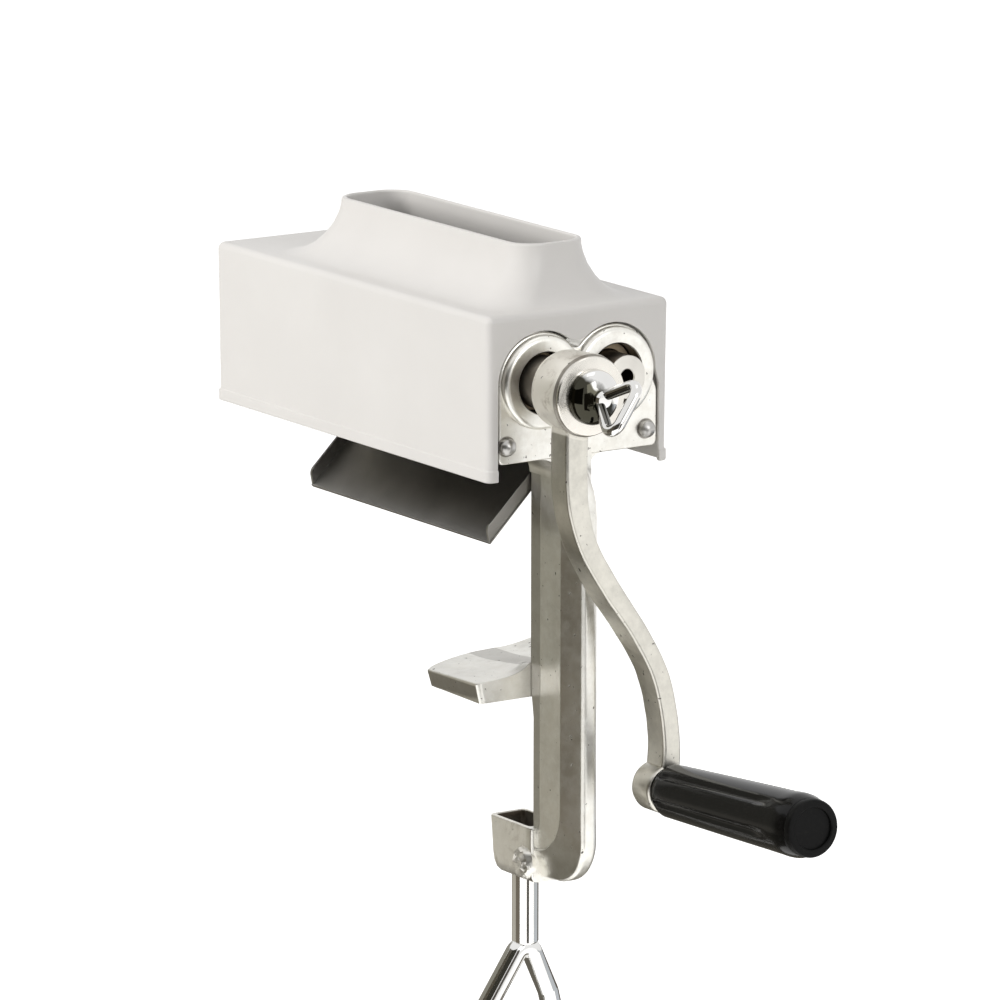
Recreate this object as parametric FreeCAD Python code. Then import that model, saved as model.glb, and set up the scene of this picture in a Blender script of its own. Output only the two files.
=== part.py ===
import FreeCAD, Part
import math
import os

from FreeCAD import Vector as V

os.makedirs("parts", exist_ok=True)

# Hand cranked meat tenderizer that clamps to a table edge. Millimetres, +Z up, +X towards the crank,
# +Y to the back. The origin is the middle of the table rest, on the clamp screw's axis, so the table's
# top face is the plane Z = 0.

# Rollers and the two bored end frames
ROLLER_Y = 18.3
ROLLER_Z = 144.9
AXES = {"front": -ROLLER_Y, "rear": ROLLER_Y}
JOURNAL_R = 9.5
FLATS_HALF = 8.4
FLATS_X0 = 41.0
FAR_JOURNAL_R = 7.0
BORE_R = 13.3
FAR_BORE_R = 10.5
BUSH_GAP = 0.05
BLADE_R = 19.5
BLADE_ROOT_R = 16.6
BLADE_T = 1.4
BLADE_TEETH = 14
BLADE_PITCH = 7.4
BLADES_FRONT = 20
FIRST_BLADE_X = -122.8
SPACER_R = 12.4
HEX_AF = 14.0
HEX_GAP = 0.1

# Crank end casting
PLATE_X0 = 30.0
PLATE_X1 = 38.8
PLATE_HALF_Y = 41.2
SHOULDER_R = 21.5
PLATE_Z0 = 110.5
BOSS_R = 20.6
BOSS_X0 = 26.0
BOSS_X1 = 42.5
ARCH_R = 13.0
WEB_HALF_Y = 7.5
NOSE_HALF_Y = 3.0
REST_T = 8.2
REST_HALF_Y = 35.5
REST_BACK_Y = 24.0
CUP_X0 = -12.6
CUP_X1 = 19.0
CUP_HALF_Y = 9.5
CUP_WALL = 2.0
CUP_Z0 = -82.6
CUP_Z1 = -58.0
CUP_FLOOR_Z = -74.0

# Far end frame and gears
FAR_X0 = -150.0
FAR_X1 = -142.0
GEAR_X0 = -163.0
GEAR_X1 = -154.0
GEAR_TEETH = 20
GEAR_HEX_AF = 11.0
GEAR_END_R = 5.0

# Tie rods that hold the end frames and the combs
TIE_Y = 36.0
TIE_Z = 118.5
TIE_R = 3.0

COMB_Z0 = 113.6
COMB_Z1 = 123.4

# Chute
CHUTE_T = 1.5
CHUTE_RISE = 96.0
CHUTE_LIP_Y = -26.4
CHUTE_X0 = -132.0
CHUTE_X1 = 12.0
CHUTE_SCREWS_X = (-112.0, -8.0)

# Moulded cover with its hopper
COVER_X0 = -181.5
COVER_X1 = 40.0
COVER_HALF_Y = 47.5
COVER_Z0 = 103.5
COVER_Z1 = 175.5
COVER_WALL = 2.5
CUT_R = 22.3
LUGS_X = (-138.0, 20.5)
HOPPER_SECTIONS = [
    (173.5, -148.0, 35.0, 36.0, 16.0),
    (178.0, -140.5, 30.0, 29.5, 15.0),
    (184.5, -134.5, 26.5, 23.5, 14.0),
    (192.5, -130.5, 24.5, 19.5, 13.0),
    (199.8, -129.3, 24.3, 18.6, 13.0),
    (201.5, -128.3, 23.3, 17.6, 12.0),
]

# Crank
HUB_R = 17.0
HUB_RIM_R = 18.2
HUB_X0 = 55.0
HUB_X1 = 75.5
NECK_R = 11.6
NECK_X0 = 37.0
ARM_X0 = 60.0
ARM_X1 = 73.4
ARM_STATIONS = [
    (-22.2, 136.0, 10.8, 10.8),
    (-22.4, 108.0, 10.4, 10.4),
    (-20.8, 93.0, 9.6, 10.4),
    (-15.7, 77.4, 8.2, 10.8),
    (-4.3, 58.5, 7.6, 11.6),
    (9.3, 39.3, 7.0, 11.0),
    (20.2, 20.2, 7.2, 9.4),
    (25.5, 1.9, 7.2, 8.4),
    (27.5, -16.2, 7.4, 8.4),
    (26.0, -31.0, 8.0, 9.0),
]
EYE_Y = 25.6
EYE_Z = -33.6
EYE_R = 10.8
WASHER_T = 2.3
THUMB_R = 12.0
THUMB_THREAD_R = 3.32
THUMB_HOLE_R = 3.4
THUMB_TILT_DEG = 34.0
NECK_OF_LOOP_R = 3.8
LOOP_REACH = 27.5
LOOP_HALF_W = 13.6
LOOP_ROD_R = 2.5

# Grip, which turns on a spindle set at a small angle in the eye
GRIP_X0 = 75.0
GRIP_L = 113.0
GRIP_LIFT_DEG = 4.0
GRIP_SPLAY_DEG = -2.7
SPINDLE_R = 3.5
FLUTE_FLOOR_R = 11.6

# Clamp screw
SCREW_R = 5.9
SCREW_GAP = 0.06
SCREW_Z0 = -113.5
PAD_R = 6.5
PAD_Z0 = -72.5
PAD_Z1 = -63.0
BOW_ROD_R = 4.0
BOW_CORNERS = [(106.0, 0.0, 6.0), (164.0, -31.0, 11.0), (152.0, 24.0, 11.0)]


def yz(x):
    return lambda a, b: V(x, a, b)


def xz(y):
    return lambda a, b: V(a, y, b)


def xy(z):
    return lambda a, b: V(a, b, z)


def rounded_wire(corners, place):
    """A closed wire through corners (a, b, radius), each corner turned by a tangent arc of its radius."""
    edges = []
    starts = []
    count = len(corners)
    for i in range(count):
        a0, b0 = corners[i - 1][:2]
        a1, b1, radius = corners[i]
        a2, b2 = corners[(i + 1) % count][:2]
        here = V(a1, b1, 0)
        back = V(a0, b0, 0) - here
        ahead = V(a2, b2, 0) - here
        if radius <= 0:
            starts.append((here, None, here))
            continue
        half = back.getAngle(ahead) / 2
        reach = radius / math.tan(half)
        p_in = here + back.normalize() * reach
        p_out = here + ahead.normalize() * reach
        bisector = (back + ahead).normalize()
        centre = here + bisector * (radius / math.sin(half))
        starts.append((p_in, centre - bisector * radius, p_out))
    for i in range(count):
        p_in, middle, p_out = starts[i]
        if middle is not None:
            points = [place(p.x, p.y) for p in (p_in, middle, p_out)]
            edges.append(Part.Arc(*points).toShape())
        following = starts[(i + 1) % count][0]
        if p_out.distanceToPoint(following) > 1e-6:
            edges.append(Part.LineSegment(place(p_out.x, p_out.y), place(following.x, following.y)).toShape())
    return Part.Wire(edges)


def prism(corners, place, direction):
    return Part.Face(rounded_wire(corners, place)).extrude(direction)


def rectangle(a0, b0, a1, b1, radius=0.0):
    return [(a0, b0, radius), (a1, b0, radius), (a1, b1, radius), (a0, b1, radius)]


def block(x0, x1, y0, y1, z0, z1):
    return Part.makeBox(x1 - x0, y1 - y0, z1 - z0, V(x0, y0, z0))


def rod_x(radius, x0, x1, y=0.0, z=0.0):
    return Part.makeCylinder(radius, x1 - x0, V(x0, y, z), V(1, 0, 0))


def rod_z(radius, z0, z1, x=0.0, y=0.0):
    return Part.makeCylinder(radius, z1 - z0, V(x, y, z0), V(0, 0, 1))


def fuse(*solids):
    return solids[0].multiFuse(list(solids[1:])).removeSplitter()


def hexagon(across_flats):
    radius = across_flats / math.sqrt(3)
    return [(radius * math.cos(k * math.pi / 3), radius * math.sin(k * math.pi / 3)) for k in range(6)]


def polygon_prism(points, x0, x1, y, z):
    wire = Part.makePolygon([V(x0, y + a, z + b) for a, b in points + points[:1]])
    return Part.Face(wire).extrude(V(x1 - x0, 0, 0))


def save(name, shape):
    shape.exportStep("parts/" + name + ".step")


# Crank end frame: end plate with two bosses, leg, table rest and screw cup in one casting
def leg():
    outer = [(12.8, 116, 0), (12.8, 2, 4), (15, -8, 5), (15, -60, 1.5), (4, -64, 1.5), (4, -82.6, 1.5),
             (26, -80.5, 6), (50.6, -80.5, 20), (50.6, 88, 16), (38.6, 108, 8), (38.6, 116, 0)]
    inner = [(12.8, 116, 0), (12.8, 2, 4), (15, -8, 5), (15, -60, 1.5), (4, -64, 1.5), (4, -68.5, 1.5),
             (18, -68, 6), (38.4, -67.8, 19), (38.4, 92, 12), (38.0, 108, 8), (38.0, 116, 0)]
    core = prism(outer, xz(-NOSE_HALF_Y), V(0, 2 * NOSE_HALF_Y, 0))
    flanks = []
    for side in (-1, 1):
        near = rounded_wire(outer, xz(side * NOSE_HALF_Y))
        far = rounded_wire(inner, xz(side * WEB_HALF_Y))
        flanks.append(Part.makeLoft([near, far], True, True))
    body = fuse(core, *flanks)
    for side in (-1, 1):
        y0 = side * (WEB_HALF_Y - 1.2) if side > 0 else -WEB_HALF_Y - 1
        body = body.cut(block(12, 22.2, y0, y0 + 2.2, -54, 98))
    return body


def end_plate():
    depth = V(PLATE_X1 - PLATE_X0, 0, 0)
    wide = PLATE_HALF_Y
    narrow = ROLLER_Y + SHOULDER_R
    waist_z = PLATE_Z0 + 24
    outline = [(-wide, PLATE_Z0, 0), (wide, PLATE_Z0, 0), (wide, waist_z, 8), (narrow, ROLLER_Z - 4, 8),
               (narrow, ROLLER_Z, 0), (-narrow, ROLLER_Z, 0), (-narrow, ROLLER_Z - 4, 8), (-wide, waist_z, 8)]
    plate = prism(outline, yz(PLATE_X0), depth)
    lower = [e for e in plate.Edges
             if abs(e.BoundBox.ZMax - PLATE_Z0) < 0.01 and e.BoundBox.XLength > 1]
    plate = plate.makeFillet(3.0, lower)
    shoulders = [rod_x(SHOULDER_R, PLATE_X0, PLATE_X1, y, ROLLER_Z) for y in AXES.values()]
    bosses = [rod_x(BOSS_R, BOSS_X0, BOSS_X1, y, ROLLER_Z) for y in AXES.values()]
    flange = block(16, PLATE_X1, -PLATE_HALF_Y + 2, PLATE_HALF_Y - 2, PLATE_Z0, COMB_Z0 - 0.1)
    arches = []
    for side in (-1, 1):
        inner = side * (WEB_HALF_Y - 2)
        outer = side * (WEB_HALF_Y + ARCH_R)
        low, high = min(inner, outer), max(inner, outer)
        web = block(22, PLATE_X1 - 0.2, low, high, PLATE_Z0 - ARCH_R, PLATE_Z0 + 1)
        arches.append(web.cut(rod_x(ARCH_R, 21, 40, outer, PLATE_Z0 - ARCH_R)))
    return fuse(plate, flange, *shoulders, *bosses, *arches)


def table_rest():
    tip = -25.0
    edges = [
        Part.LineSegment(V(17, REST_BACK_Y, 0), V(17, -REST_HALF_Y, 0)).toShape(),
        Part.LineSegment(V(17, -REST_HALF_Y, 0), V(tip, -REST_HALF_Y, 0)).toShape(),
        Part.Arc(V(tip, -REST_HALF_Y, 0), V(tip - 11, 0, 0), V(tip, REST_HALF_Y, 0)).toShape(),
        Part.Arc(V(tip, REST_HALF_Y, 0), V(2, 30.4, 0), V(17, REST_BACK_Y, 0)).toShape(),
    ]
    slab = Part.Face(Part.Wire(edges)).extrude(V(0, 0, REST_T))
    reach = 20.0
    top = REST_T + 10
    gusset = Part.Wire([
        Part.LineSegment(V(-18, -reach, REST_T - 1), V(-18, reach, REST_T - 1)).toShape(),
        Part.LineSegment(V(-18, reach, REST_T - 1), V(-18, reach, REST_T)).toShape(),
        Part.Arc(V(-18, reach, REST_T), V(-18, 10.5, REST_T + 3), V(-18, 6, top)).toShape(),
        Part.LineSegment(V(-18, 6, top), V(-18, -6, top)).toShape(),
        Part.Arc(V(-18, -6, top), V(-18, -10.5, REST_T + 3), V(-18, -reach, REST_T)).toShape(),
        Part.LineSegment(V(-18, -reach, REST_T), V(-18, -reach, REST_T - 1)).toShape(),
    ])
    gusset = Part.Face(gusset).extrude(V(35, 0, 0))
    above = [(-20, REST_T + 0.05, 0), (17, top + 0.5, 0), (17, 40, 0), (-20, 40, 0)]
    slope = prism(above, xz(-30), V(0, 60, 0))
    return fuse(slab, gusset.cut(slope))


def screw_cup():
    outer = prism(rectangle(CUP_X0, CUP_Z0, CUP_X1, CUP_Z1, 0), xz(-CUP_HALF_Y), V(0, 2 * CUP_HALF_Y, 0))
    rise = prism([(CUP_X0 + 5, CUP_Z1 - 0.5, 0), (CUP_X1, CUP_Z1 - 0.5, 0), (CUP_X1, CUP_Z1 + 4.5, 0)],
                 xz(CUP_HALF_Y - CUP_WALL), V(0, CUP_WALL, 0))
    upright = [e for e in outer.Edges if e.BoundBox.ZLength > 1 and e.BoundBox.XMax < 0]
    outer = outer.makeFillet(4.0, upright)
    foot = [e for e in outer.Edges
            if e.BoundBox.ZMax < CUP_Z0 + 0.01 and abs(e.BoundBox.XMax - CUP_X0) < 0.01]
    outer = outer.makeFillet(6.0, foot)
    lug = Part.makeCylinder(6.4, 3.4, V(13.0, -CUP_HALF_Y + 1, -74.2), V(0, -1, 0))
    return fuse(outer, rise, lug)


def crank_end_frame():
    body = fuse(end_plate(), leg(), table_rest(), screw_cup())
    for y in AXES.values():
        body = body.cut(rod_x(BORE_R, BOSS_X0 - 1, BOSS_X1 + 1, y, ROLLER_Z))
        body = body.cut(rod_x(TIE_R + 0.05, 10, 45, math.copysign(TIE_Y, y), TIE_Z))
    half = CUP_HALF_Y - CUP_WALL
    mouth = rectangle(CUP_X0 + CUP_WALL, -half, CUP_X1 - 4.0, half, 3.0)
    body = body.cut(prism(mouth, xy(CUP_FLOOR_Z), V(0, 0, CUP_Z1 - CUP_FLOOR_Z + 1)))
    return body.cut(rod_z(SCREW_R + SCREW_GAP, CUP_Z0 - 2, CUP_FLOOR_Z + 1))


# Far end frame: a thinner cast plate with two bored bosses
def far_end_frame():
    outline = rectangle(-PLATE_HALF_Y, PLATE_Z0, PLATE_HALF_Y, 158, 6)
    plate = prism(outline, yz(FAR_X0), V(FAR_X1 - FAR_X0, 0, 0))
    bosses = [rod_x(BOSS_R - 2, FAR_X0 - 1.5, FAR_X1 + 2, y, ROLLER_Z) for y in AXES.values()]
    body = fuse(plate, *bosses)
    for y in AXES.values():
        body = body.cut(rod_x(FAR_BORE_R, FAR_X0 - 3, FAR_X1 + 3, y, ROLLER_Z))
        body = body.cut(rod_x(TIE_R + 0.05, FAR_X0 - 3, FAR_X1 + 3, math.copysign(TIE_Y, y), TIE_Z))
    window = prism(rectangle(-13, PLATE_Z0 - 1, 13, 124, 4), yz(FAR_X0 - 1), V(12, 0, 0))
    return body.cut(window)


def bush(x0, x1, y, seat_r, journal_r):
    sleeve = rod_x(seat_r - 0.02, x0, x1, y, ROLLER_Z)
    return sleeve.cut(rod_x(journal_r + BUSH_GAP, x0 - 1, x1 + 1, y, ROLLER_Z))


# Tie rods with a domed head at the crank end and a nut at the far end
def tie_rod(y):
    rod = rod_x(TIE_R, FAR_X0 - 7, PLATE_X1 + 0.5, y, TIE_Z)
    seat = PLATE_X1 + 0.02
    flange = rod_x(3.8, seat, seat + 2.0, y, TIE_Z)
    dome = Part.makeSphere(4.3, V(seat, y, TIE_Z)).common(rod_x(3.8, seat + 1.9, seat + 6, y, TIE_Z))
    return fuse(rod, flange, dome)


def tie_nut(y):
    hex_nut = polygon_prism(hexagon(10.0), FAR_X0 - 6.0, FAR_X0 - 1.0, y, TIE_Z)
    return hex_nut.cut(rod_x(TIE_R + 0.03, FAR_X0 - 7, FAR_X0, y, TIE_Z))


# Toothed blades: thin discs with pointed teeth and a hexagon bore, threaded on the hexagon of the shaft
def blade(x, y, turned):
    points = []
    for k in range(BLADE_TEETH):
        tip = (k + turned) * 2 * math.pi / BLADE_TEETH
        root = tip + math.pi / BLADE_TEETH
        points.append((BLADE_R * math.cos(tip), BLADE_R * math.sin(tip)))
        points.append((BLADE_ROOT_R * math.cos(root), BLADE_ROOT_R * math.sin(root)))
    disc = polygon_prism(points, x - BLADE_T / 2, x + BLADE_T / 2, y, ROLLER_Z)
    return disc.cut(polygon_prism(hexagon(HEX_AF + HEX_GAP), x - 2, x + 2, y, ROLLER_Z))


def blade_places(which):
    if which == "front":
        return [FIRST_BLADE_X + k * BLADE_PITCH for k in range(BLADES_FRONT)]
    return [FIRST_BLADE_X + (k + 0.5) * BLADE_PITCH for k in range(BLADES_FRONT - 1)]


def spacer(x0, x1, y):
    ring = rod_x(SPACER_R, x0, x1, y, ROLLER_Z)
    return ring.cut(polygon_prism(hexagon(HEX_AF + HEX_GAP), x0 - 1, x1 + 1, y, ROLLER_Z))


def blade_set(which):
    places = blade_places(which)
    return Part.Compound([blade(x, AXES[which], (k % 2) / 2) for k, x in enumerate(places)])


def spacer_set(which):
    places = blade_places(which)
    half = BLADE_T / 2 + 0.01
    gaps = [(a + half, b - half) for a, b in zip(places, places[1:])]
    return Part.Compound([spacer(a, b, AXES[which]) for a, b in gaps])


def end_collars(which):
    places = blade_places(which)
    half = BLADE_T / 2 + 0.01
    inner = spacer(FAR_X1 + 2.3, places[0] - half, AXES[which])
    outer = spacer(places[-1] + half, BOSS_X0 - 0.45, AXES[which])
    return Part.Compound([inner, outer])


def shaft(which):
    y = AXES[which]
    middle = polygon_prism(hexagon(HEX_AF), FAR_X1 + 2.3, BOSS_X0 - 0.3, y, ROLLER_Z)
    crank_end = rod_x(JOURNAL_R, BOSS_X0 - 0.4, 50.8, y, ROLLER_Z)
    far_end = rod_x(FAR_JOURNAL_R, FAR_X0 - 2.5, FAR_X1 + 2.4, y, ROLLER_Z)
    seat = polygon_prism(hexagon(GEAR_HEX_AF), GEAR_X0, FAR_X0 - 2.4, y, ROLLER_Z)
    stub = rod_x(GEAR_END_R, GEAR_X0 - 4.0, GEAR_X0 + 0.1, y, ROLLER_Z)
    body = fuse(middle, crank_end, far_end, seat, stub)
    for side in (-1, 1):
        low, high = sorted((side * FLATS_HALF, side * (JOURNAL_R + 1)))
        body = body.cut(block(FLATS_X0, 52, y + low, y + high, ROLLER_Z - 12, ROLLER_Z + 12))
    return body.cut(rod_x(THUMB_HOLE_R, 32, 52, y, ROLLER_Z))


# Equal spur gears with involute flanks, one turned by half a tooth so that they mesh at rest
def involute(base, radius):
    alpha = math.acos(min(1.0, base / radius))
    return math.tan(alpha) - alpha


def gear(which):
    pitch_r = ROLLER_Y
    module = 2 * pitch_r / GEAR_TEETH
    base = pitch_r * math.cos(math.radians(20))
    tip_r = pitch_r + 0.92 * module
    root_r = pitch_r - 1.2 * module
    thin = 0.18 / pitch_r
    half_pitch_angle = math.pi / (2 * GEAR_TEETH) - thin / 2
    turned = 0.0 if which == "front" else math.pi / GEAR_TEETH
    flank = []
    for radius in (base + 0.05, pitch_r, tip_r):
        angle = half_pitch_angle + involute(base, pitch_r) - involute(base, radius)
        flank.append((radius, angle))
    flank = [(root_r, flank[0][1] + 0.02)] + flank
    points = []
    for k in range(GEAR_TEETH):
        middle = k * 2 * math.pi / GEAR_TEETH + turned
        for radius, angle in flank:
            points.append((radius * math.cos(middle - angle), radius * math.sin(middle - angle)))
        for radius, angle in reversed(flank):
            points.append((radius * math.cos(middle + angle), radius * math.sin(middle + angle)))
    y = AXES[which]
    disc = polygon_prism(points, GEAR_X0, GEAR_X1, y, ROLLER_Z)
    hub = rod_x(11.0, GEAR_X1, FAR_X0 - 2.6, y, ROLLER_Z)
    bore = polygon_prism(hexagon(GEAR_HEX_AF + HEX_GAP), GEAR_X0 - 1, FAR_X0, y, ROLLER_Z)
    return fuse(disc, hub).cut(bore)


def gear_ring(which):
    ring = rod_x(9.0, GEAR_X0 - 2.5, GEAR_X0 - 0.05, AXES[which], ROLLER_Z)
    return ring.cut(rod_x(GEAR_END_R + 0.02, GEAR_X0 - 5, GEAR_X0 + 1, AXES[which], ROLLER_Z))


# Combs: a bar on each tie rod with one finger in every gap between the blades
def comb(which):
    side = -1 if which == "front" else 1
    places = blade_places(which)
    bar = prism([(side * 39.4, COMB_Z0, 1.5), (side * 32.6, COMB_Z0, 1.5), (side * 32.6, COMB_Z1, 1.5),
                 (side * 39.4, COMB_Z1, 1.5)], yz(FAR_X1 + 0.05), V(PLATE_X0 - 0.1 - FAR_X1, 0, 0))
    finger = [(39.0, 114.4), (33.0, 114.4), (8.6, 127.6), (6.4, 131.0), (22.0, 131.6), (30.5, 136.6),
              (38.6, 123.0)]
    fingers = []
    middles = [(a + b) / 2 for a, b in zip(places, places[1:])]
    for x in middles:
        outline = [V(x - 1.25, side * a, b) for a, b in finger + finger[:1]]
        fingers.append(Part.Face(Part.makePolygon(outline)).extrude(V(2.5, 0, 0)))
    body = fuse(bar, *fingers)
    return body.cut(rod_x(TIE_R + 0.05, FAR_X1 - 2, PLATE_X0 + 2, side * TIE_Y, TIE_Z))


# Chute: a sheet tray at 45 degrees below the rollers, screwed up into the rear comb's bar
def chute():
    t = CHUTE_T
    shelf_z = 14.6 + CHUTE_RISE
    floor = [(CHUTE_LIP_Y, CHUTE_LIP_Y + CHUTE_RISE, 0), (14.6, shelf_z, 6), (38.0, shelf_z, 0),
             (38.0, shelf_z + t, 0), (13.9, shelf_z + t, 4.5),
             (CHUTE_LIP_Y - 1.06, CHUTE_LIP_Y + CHUTE_RISE + 1.06, 0)]
    sheet = prism(floor, yz(CHUTE_X0), V(CHUTE_X1 - CHUTE_X0, 0, 0))
    walls = []
    for x in (CHUTE_X0, CHUTE_X1 - t):
        wall = [(CHUTE_LIP_Y - 0.4, CHUTE_LIP_Y + CHUTE_RISE + 0.4, 0), (12.0, 12.0 + CHUTE_RISE + 0.4, 0),
                (9.0, 9.0 + CHUTE_RISE + 9.2, 2), (CHUTE_LIP_Y - 1.8, CHUTE_LIP_Y + CHUTE_RISE + 7.4, 2)]
        walls.append(prism(wall, yz(x), V(t, 0, 0)))
    body = fuse(sheet, *walls)
    for x in CHUTE_SCREWS_X:
        body = body.cut(rod_z(2.1, 105, 116, x, TIE_Y - 0.4))
    return body


def chute_screw(x):
    top = COMB_Z0 - 0.02
    low = 14.6 + CHUTE_RISE
    head = rod_z(3.6, low - 2.0, low - 0.02, x, TIE_Y - 0.4)
    shank = rod_z(2.0, low - 0.1, top, x, TIE_Y - 0.4)
    slot = block(x - 4, x + 4, TIE_Y - 0.8, TIE_Y, low - 2.5, low - 1.2)
    return fuse(head, shank).cut(slot)


# Cover: a thin moulded hood with a flared hopper, open below, its crank end cut out round the bosses
def hopper_wire(section, inset):
    z, x0, x1, half_y, radius = section
    corners = rectangle(x0 + inset, -half_y + inset, x1 - inset, half_y - inset, radius - inset)
    return rounded_wire(corners, xy(z))


def cover():
    outer = block(COVER_X0, COVER_X1, -COVER_HALF_Y, COVER_HALF_Y, COVER_Z0, COVER_Z1)
    soft = [e for e in outer.Edges if e.BoundBox.ZMax > COVER_Z0 + 1]
    outer = outer.makeFillet(3.0, soft)
    inner = block(COVER_X0 + COVER_WALL, COVER_X1 - COVER_WALL, -COVER_HALF_Y + COVER_WALL,
                  COVER_HALF_Y - COVER_WALL, COVER_Z0 - 2, COVER_Z1 - COVER_WALL)
    soft = [e for e in inner.Edges if e.BoundBox.ZMax > COVER_Z0 + 1]
    inner = inner.makeFillet(1.2, soft)
    flare = Part.makeLoft([hopper_wire(s, 0.0) for s in HOPPER_SECTIONS], True, True)
    lowest = HOPPER_SECTIONS[0]
    highest = HOPPER_SECTIONS[-1]
    inside = [(lowest[0] - 3.5,) + lowest[1:]] + [(s[0] - 1.2,) + s[1:] for s in HOPPER_SECTIONS[1:-1]]
    inside.append((highest[0] + 1.0,) + highest[1:])
    throat = Part.makeLoft([hopper_wire(s, COVER_WALL) for s in inside], True, True)
    lugs = []
    for x0 in LUGS_X:
        for side in (-1, 1):
            low, high = sorted((side * 36.5, side * (COVER_HALF_Y - 1)))
            lugs.append(block(x0, x0 + 4.5, low, high, COMB_Z1 + 0.05, COMB_Z1 + 7))
    body = fuse(outer, flare).cut(inner).cut(throat)
    body = fuse(body, *lugs)
    x0, x1 = COVER_X1 - 10, COVER_X1 + 5
    low_half = PLATE_HALF_Y + 0.7
    cut = block(x0, x1, -ROLLER_Y - CUT_R, ROLLER_Y + CUT_R, COVER_Z0 - 5, ROLLER_Z)
    cut = cut.fuse(block(x0, x1, -low_half, low_half, COVER_Z0 - 5, PLATE_Z0 + 28))
    for y in AXES.values():
        cut = cut.fuse(rod_x(CUT_R, x0, x1, y, ROLLER_Z))
    cut = cut.removeSplitter()
    across = [e for e in cut.Edges if e.BoundBox.XLength > 1 and e.BoundBox.YLength < 0.01]
    notch = [e for e in across if abs(e.BoundBox.YMax) < 0.01]
    cut = cut.makeFillet(9.0, notch)
    return body.cut(cut)


# Crank: hub with its neck, curved arm and eye in one casting. Each station of the arm gives its middle
# (y, z) and its width at the front and at the back, so the sides lean in towards the front.
def arm_outline(x, width_of):
    centre = Part.BSplineCurve()
    centre.interpolate([V(x, station[0], station[1]) for station in ARM_STATIONS])
    sides = {1: [], -1: []}
    for station in ARM_STATIONS:
        point = V(x, station[0], station[1])
        along = centre.tangent(centre.parameter(point))[0]
        across = V(0, -along.z, along.y)
        for side in sides:
            sides[side].append(point + across * (side * width_of(station) / 2))
    left = Part.BSplineCurve()
    left.interpolate(sides[1])
    right = Part.BSplineCurve()
    right.interpolate(list(reversed(sides[-1])))
    ends = [Part.LineSegment(sides[1][-1], sides[-1][-1]).toShape(),
            Part.LineSegment(sides[-1][0], sides[1][0]).toShape()]
    return Part.Wire([left.toShape(), ends[0], right.toShape(), ends[1]])


def crank_arm():
    y = AXES["front"]
    hub = Part.makeCone(HUB_R, HUB_RIM_R, HUB_X1 - HUB_X0, V(HUB_X0, y, ROLLER_Z), V(1, 0, 0))
    rims = [e for e in hub.Edges if e.BoundBox.XLength < 0.01]
    hub = hub.makeFillet(1.4, rims)
    neck = rod_x(NECK_R, NECK_X0, HUB_X0 + 1, y, ROLLER_Z)
    back = arm_outline(ARM_X0, lambda station: station[3])
    front = arm_outline(ARM_X1, lambda station: station[2])
    arm = Part.makeLoft([back, front], True, True)
    eye = rod_x(EYE_R, ARM_X0, ARM_X1, EYE_Y, EYE_Z)
    body = fuse(hub, neck, arm, eye)
    socket = rod_x(JOURNAL_R + 0.05, NECK_X0 - 1, 51.5, y, ROLLER_Z)
    for side in (-1, 1):
        low, high = sorted((side * (FLATS_HALF + 0.05), side * (JOURNAL_R + 1)))
        socket = socket.cut(block(FLATS_X0 + 0.3, 52, y + low, y + high, ROLLER_Z - 12, ROLLER_Z + 12))
    body = body.cut(socket)
    body = body.cut(rod_x(4.2, 50, HUB_X1 + 1, y, ROLLER_Z))
    return body.cut(grip_turned(rod_x(SPINDLE_R + 0.01, -30, 20)))


def washer():
    y = AXES["front"]
    disc = rod_x(HUB_R + 0.2, HUB_X1 + 0.02, HUB_X1 + WASHER_T, y, ROLLER_Z)
    return disc.cut(rod_x(4.2, HUB_X1 - 1, HUB_X1 + 4, y, ROLLER_Z))


def bow(corners, rod_r, place):
    """A closed loop of round rod through the corners (a, b, radius)."""
    path = rounded_wire(corners, place)
    first = path.OrderedEdges[0]
    circle = Part.Circle(first.valueAt(first.FirstParameter), first.tangentAt(first.FirstParameter), rod_r)
    return path.makePipeShell([Part.Wire([circle.toShape()])], True, True)


def thumb_screw():
    y = AXES["front"]
    seat = HUB_X1 + WASHER_T + 0.02
    rim = V(seat + 1.6, THUMB_R, 0)
    profile = Part.Wire([
        Part.LineSegment(V(seat, 0, 0), V(seat, THUMB_R, 0)).toShape(),
        Part.LineSegment(V(seat, THUMB_R, 0), rim).toShape(),
        Part.Arc(rim, V(seat + 5.4, 8.6, 0), V(seat + 7.4, NECK_OF_LOOP_R, 0)).toShape(),
        Part.LineSegment(V(seat + 7.4, NECK_OF_LOOP_R, 0), V(seat + 9.4, 0, 0)).toShape(),
        Part.LineSegment(V(seat + 9.4, 0, 0), V(seat, 0, 0)).toShape(),
    ])
    dome = Part.Face(profile).revolve(V(0, 0, 0), V(1, 0, 0), 360)
    shank = rod_x(THUMB_THREAD_R, 36, seat + 1)
    tilt = math.radians(THUMB_TILT_DEG)
    across = V(0, math.sin(tilt), math.cos(tilt))
    reach = seat + LOOP_REACH
    corners = [(seat + 3.5, 0, 2.5), (reach, -LOOP_HALF_W, 4.5), (reach, LOOP_HALF_W, 4.5)]
    loop = bow(corners, LOOP_ROD_R, lambda a, b: V(a, 0, 0) + across * b)
    body = fuse(dome, shank, loop)
    body.translate(V(0, y, ROLLER_Z))
    return body


# Grip and its spindle, drawn along +X from the eye and then set at the spindle's angle
def grip_turned(shape):
    shape.rotate(V(0, 0, 0), V(0, 1, 0), -GRIP_LIFT_DEG)
    shape.rotate(V(0, 0, 0), V(0, 0, 1), GRIP_SPLAY_DEG)
    shape.translate(V(GRIP_X0, EYE_Y, EYE_Z))
    return shape


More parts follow.
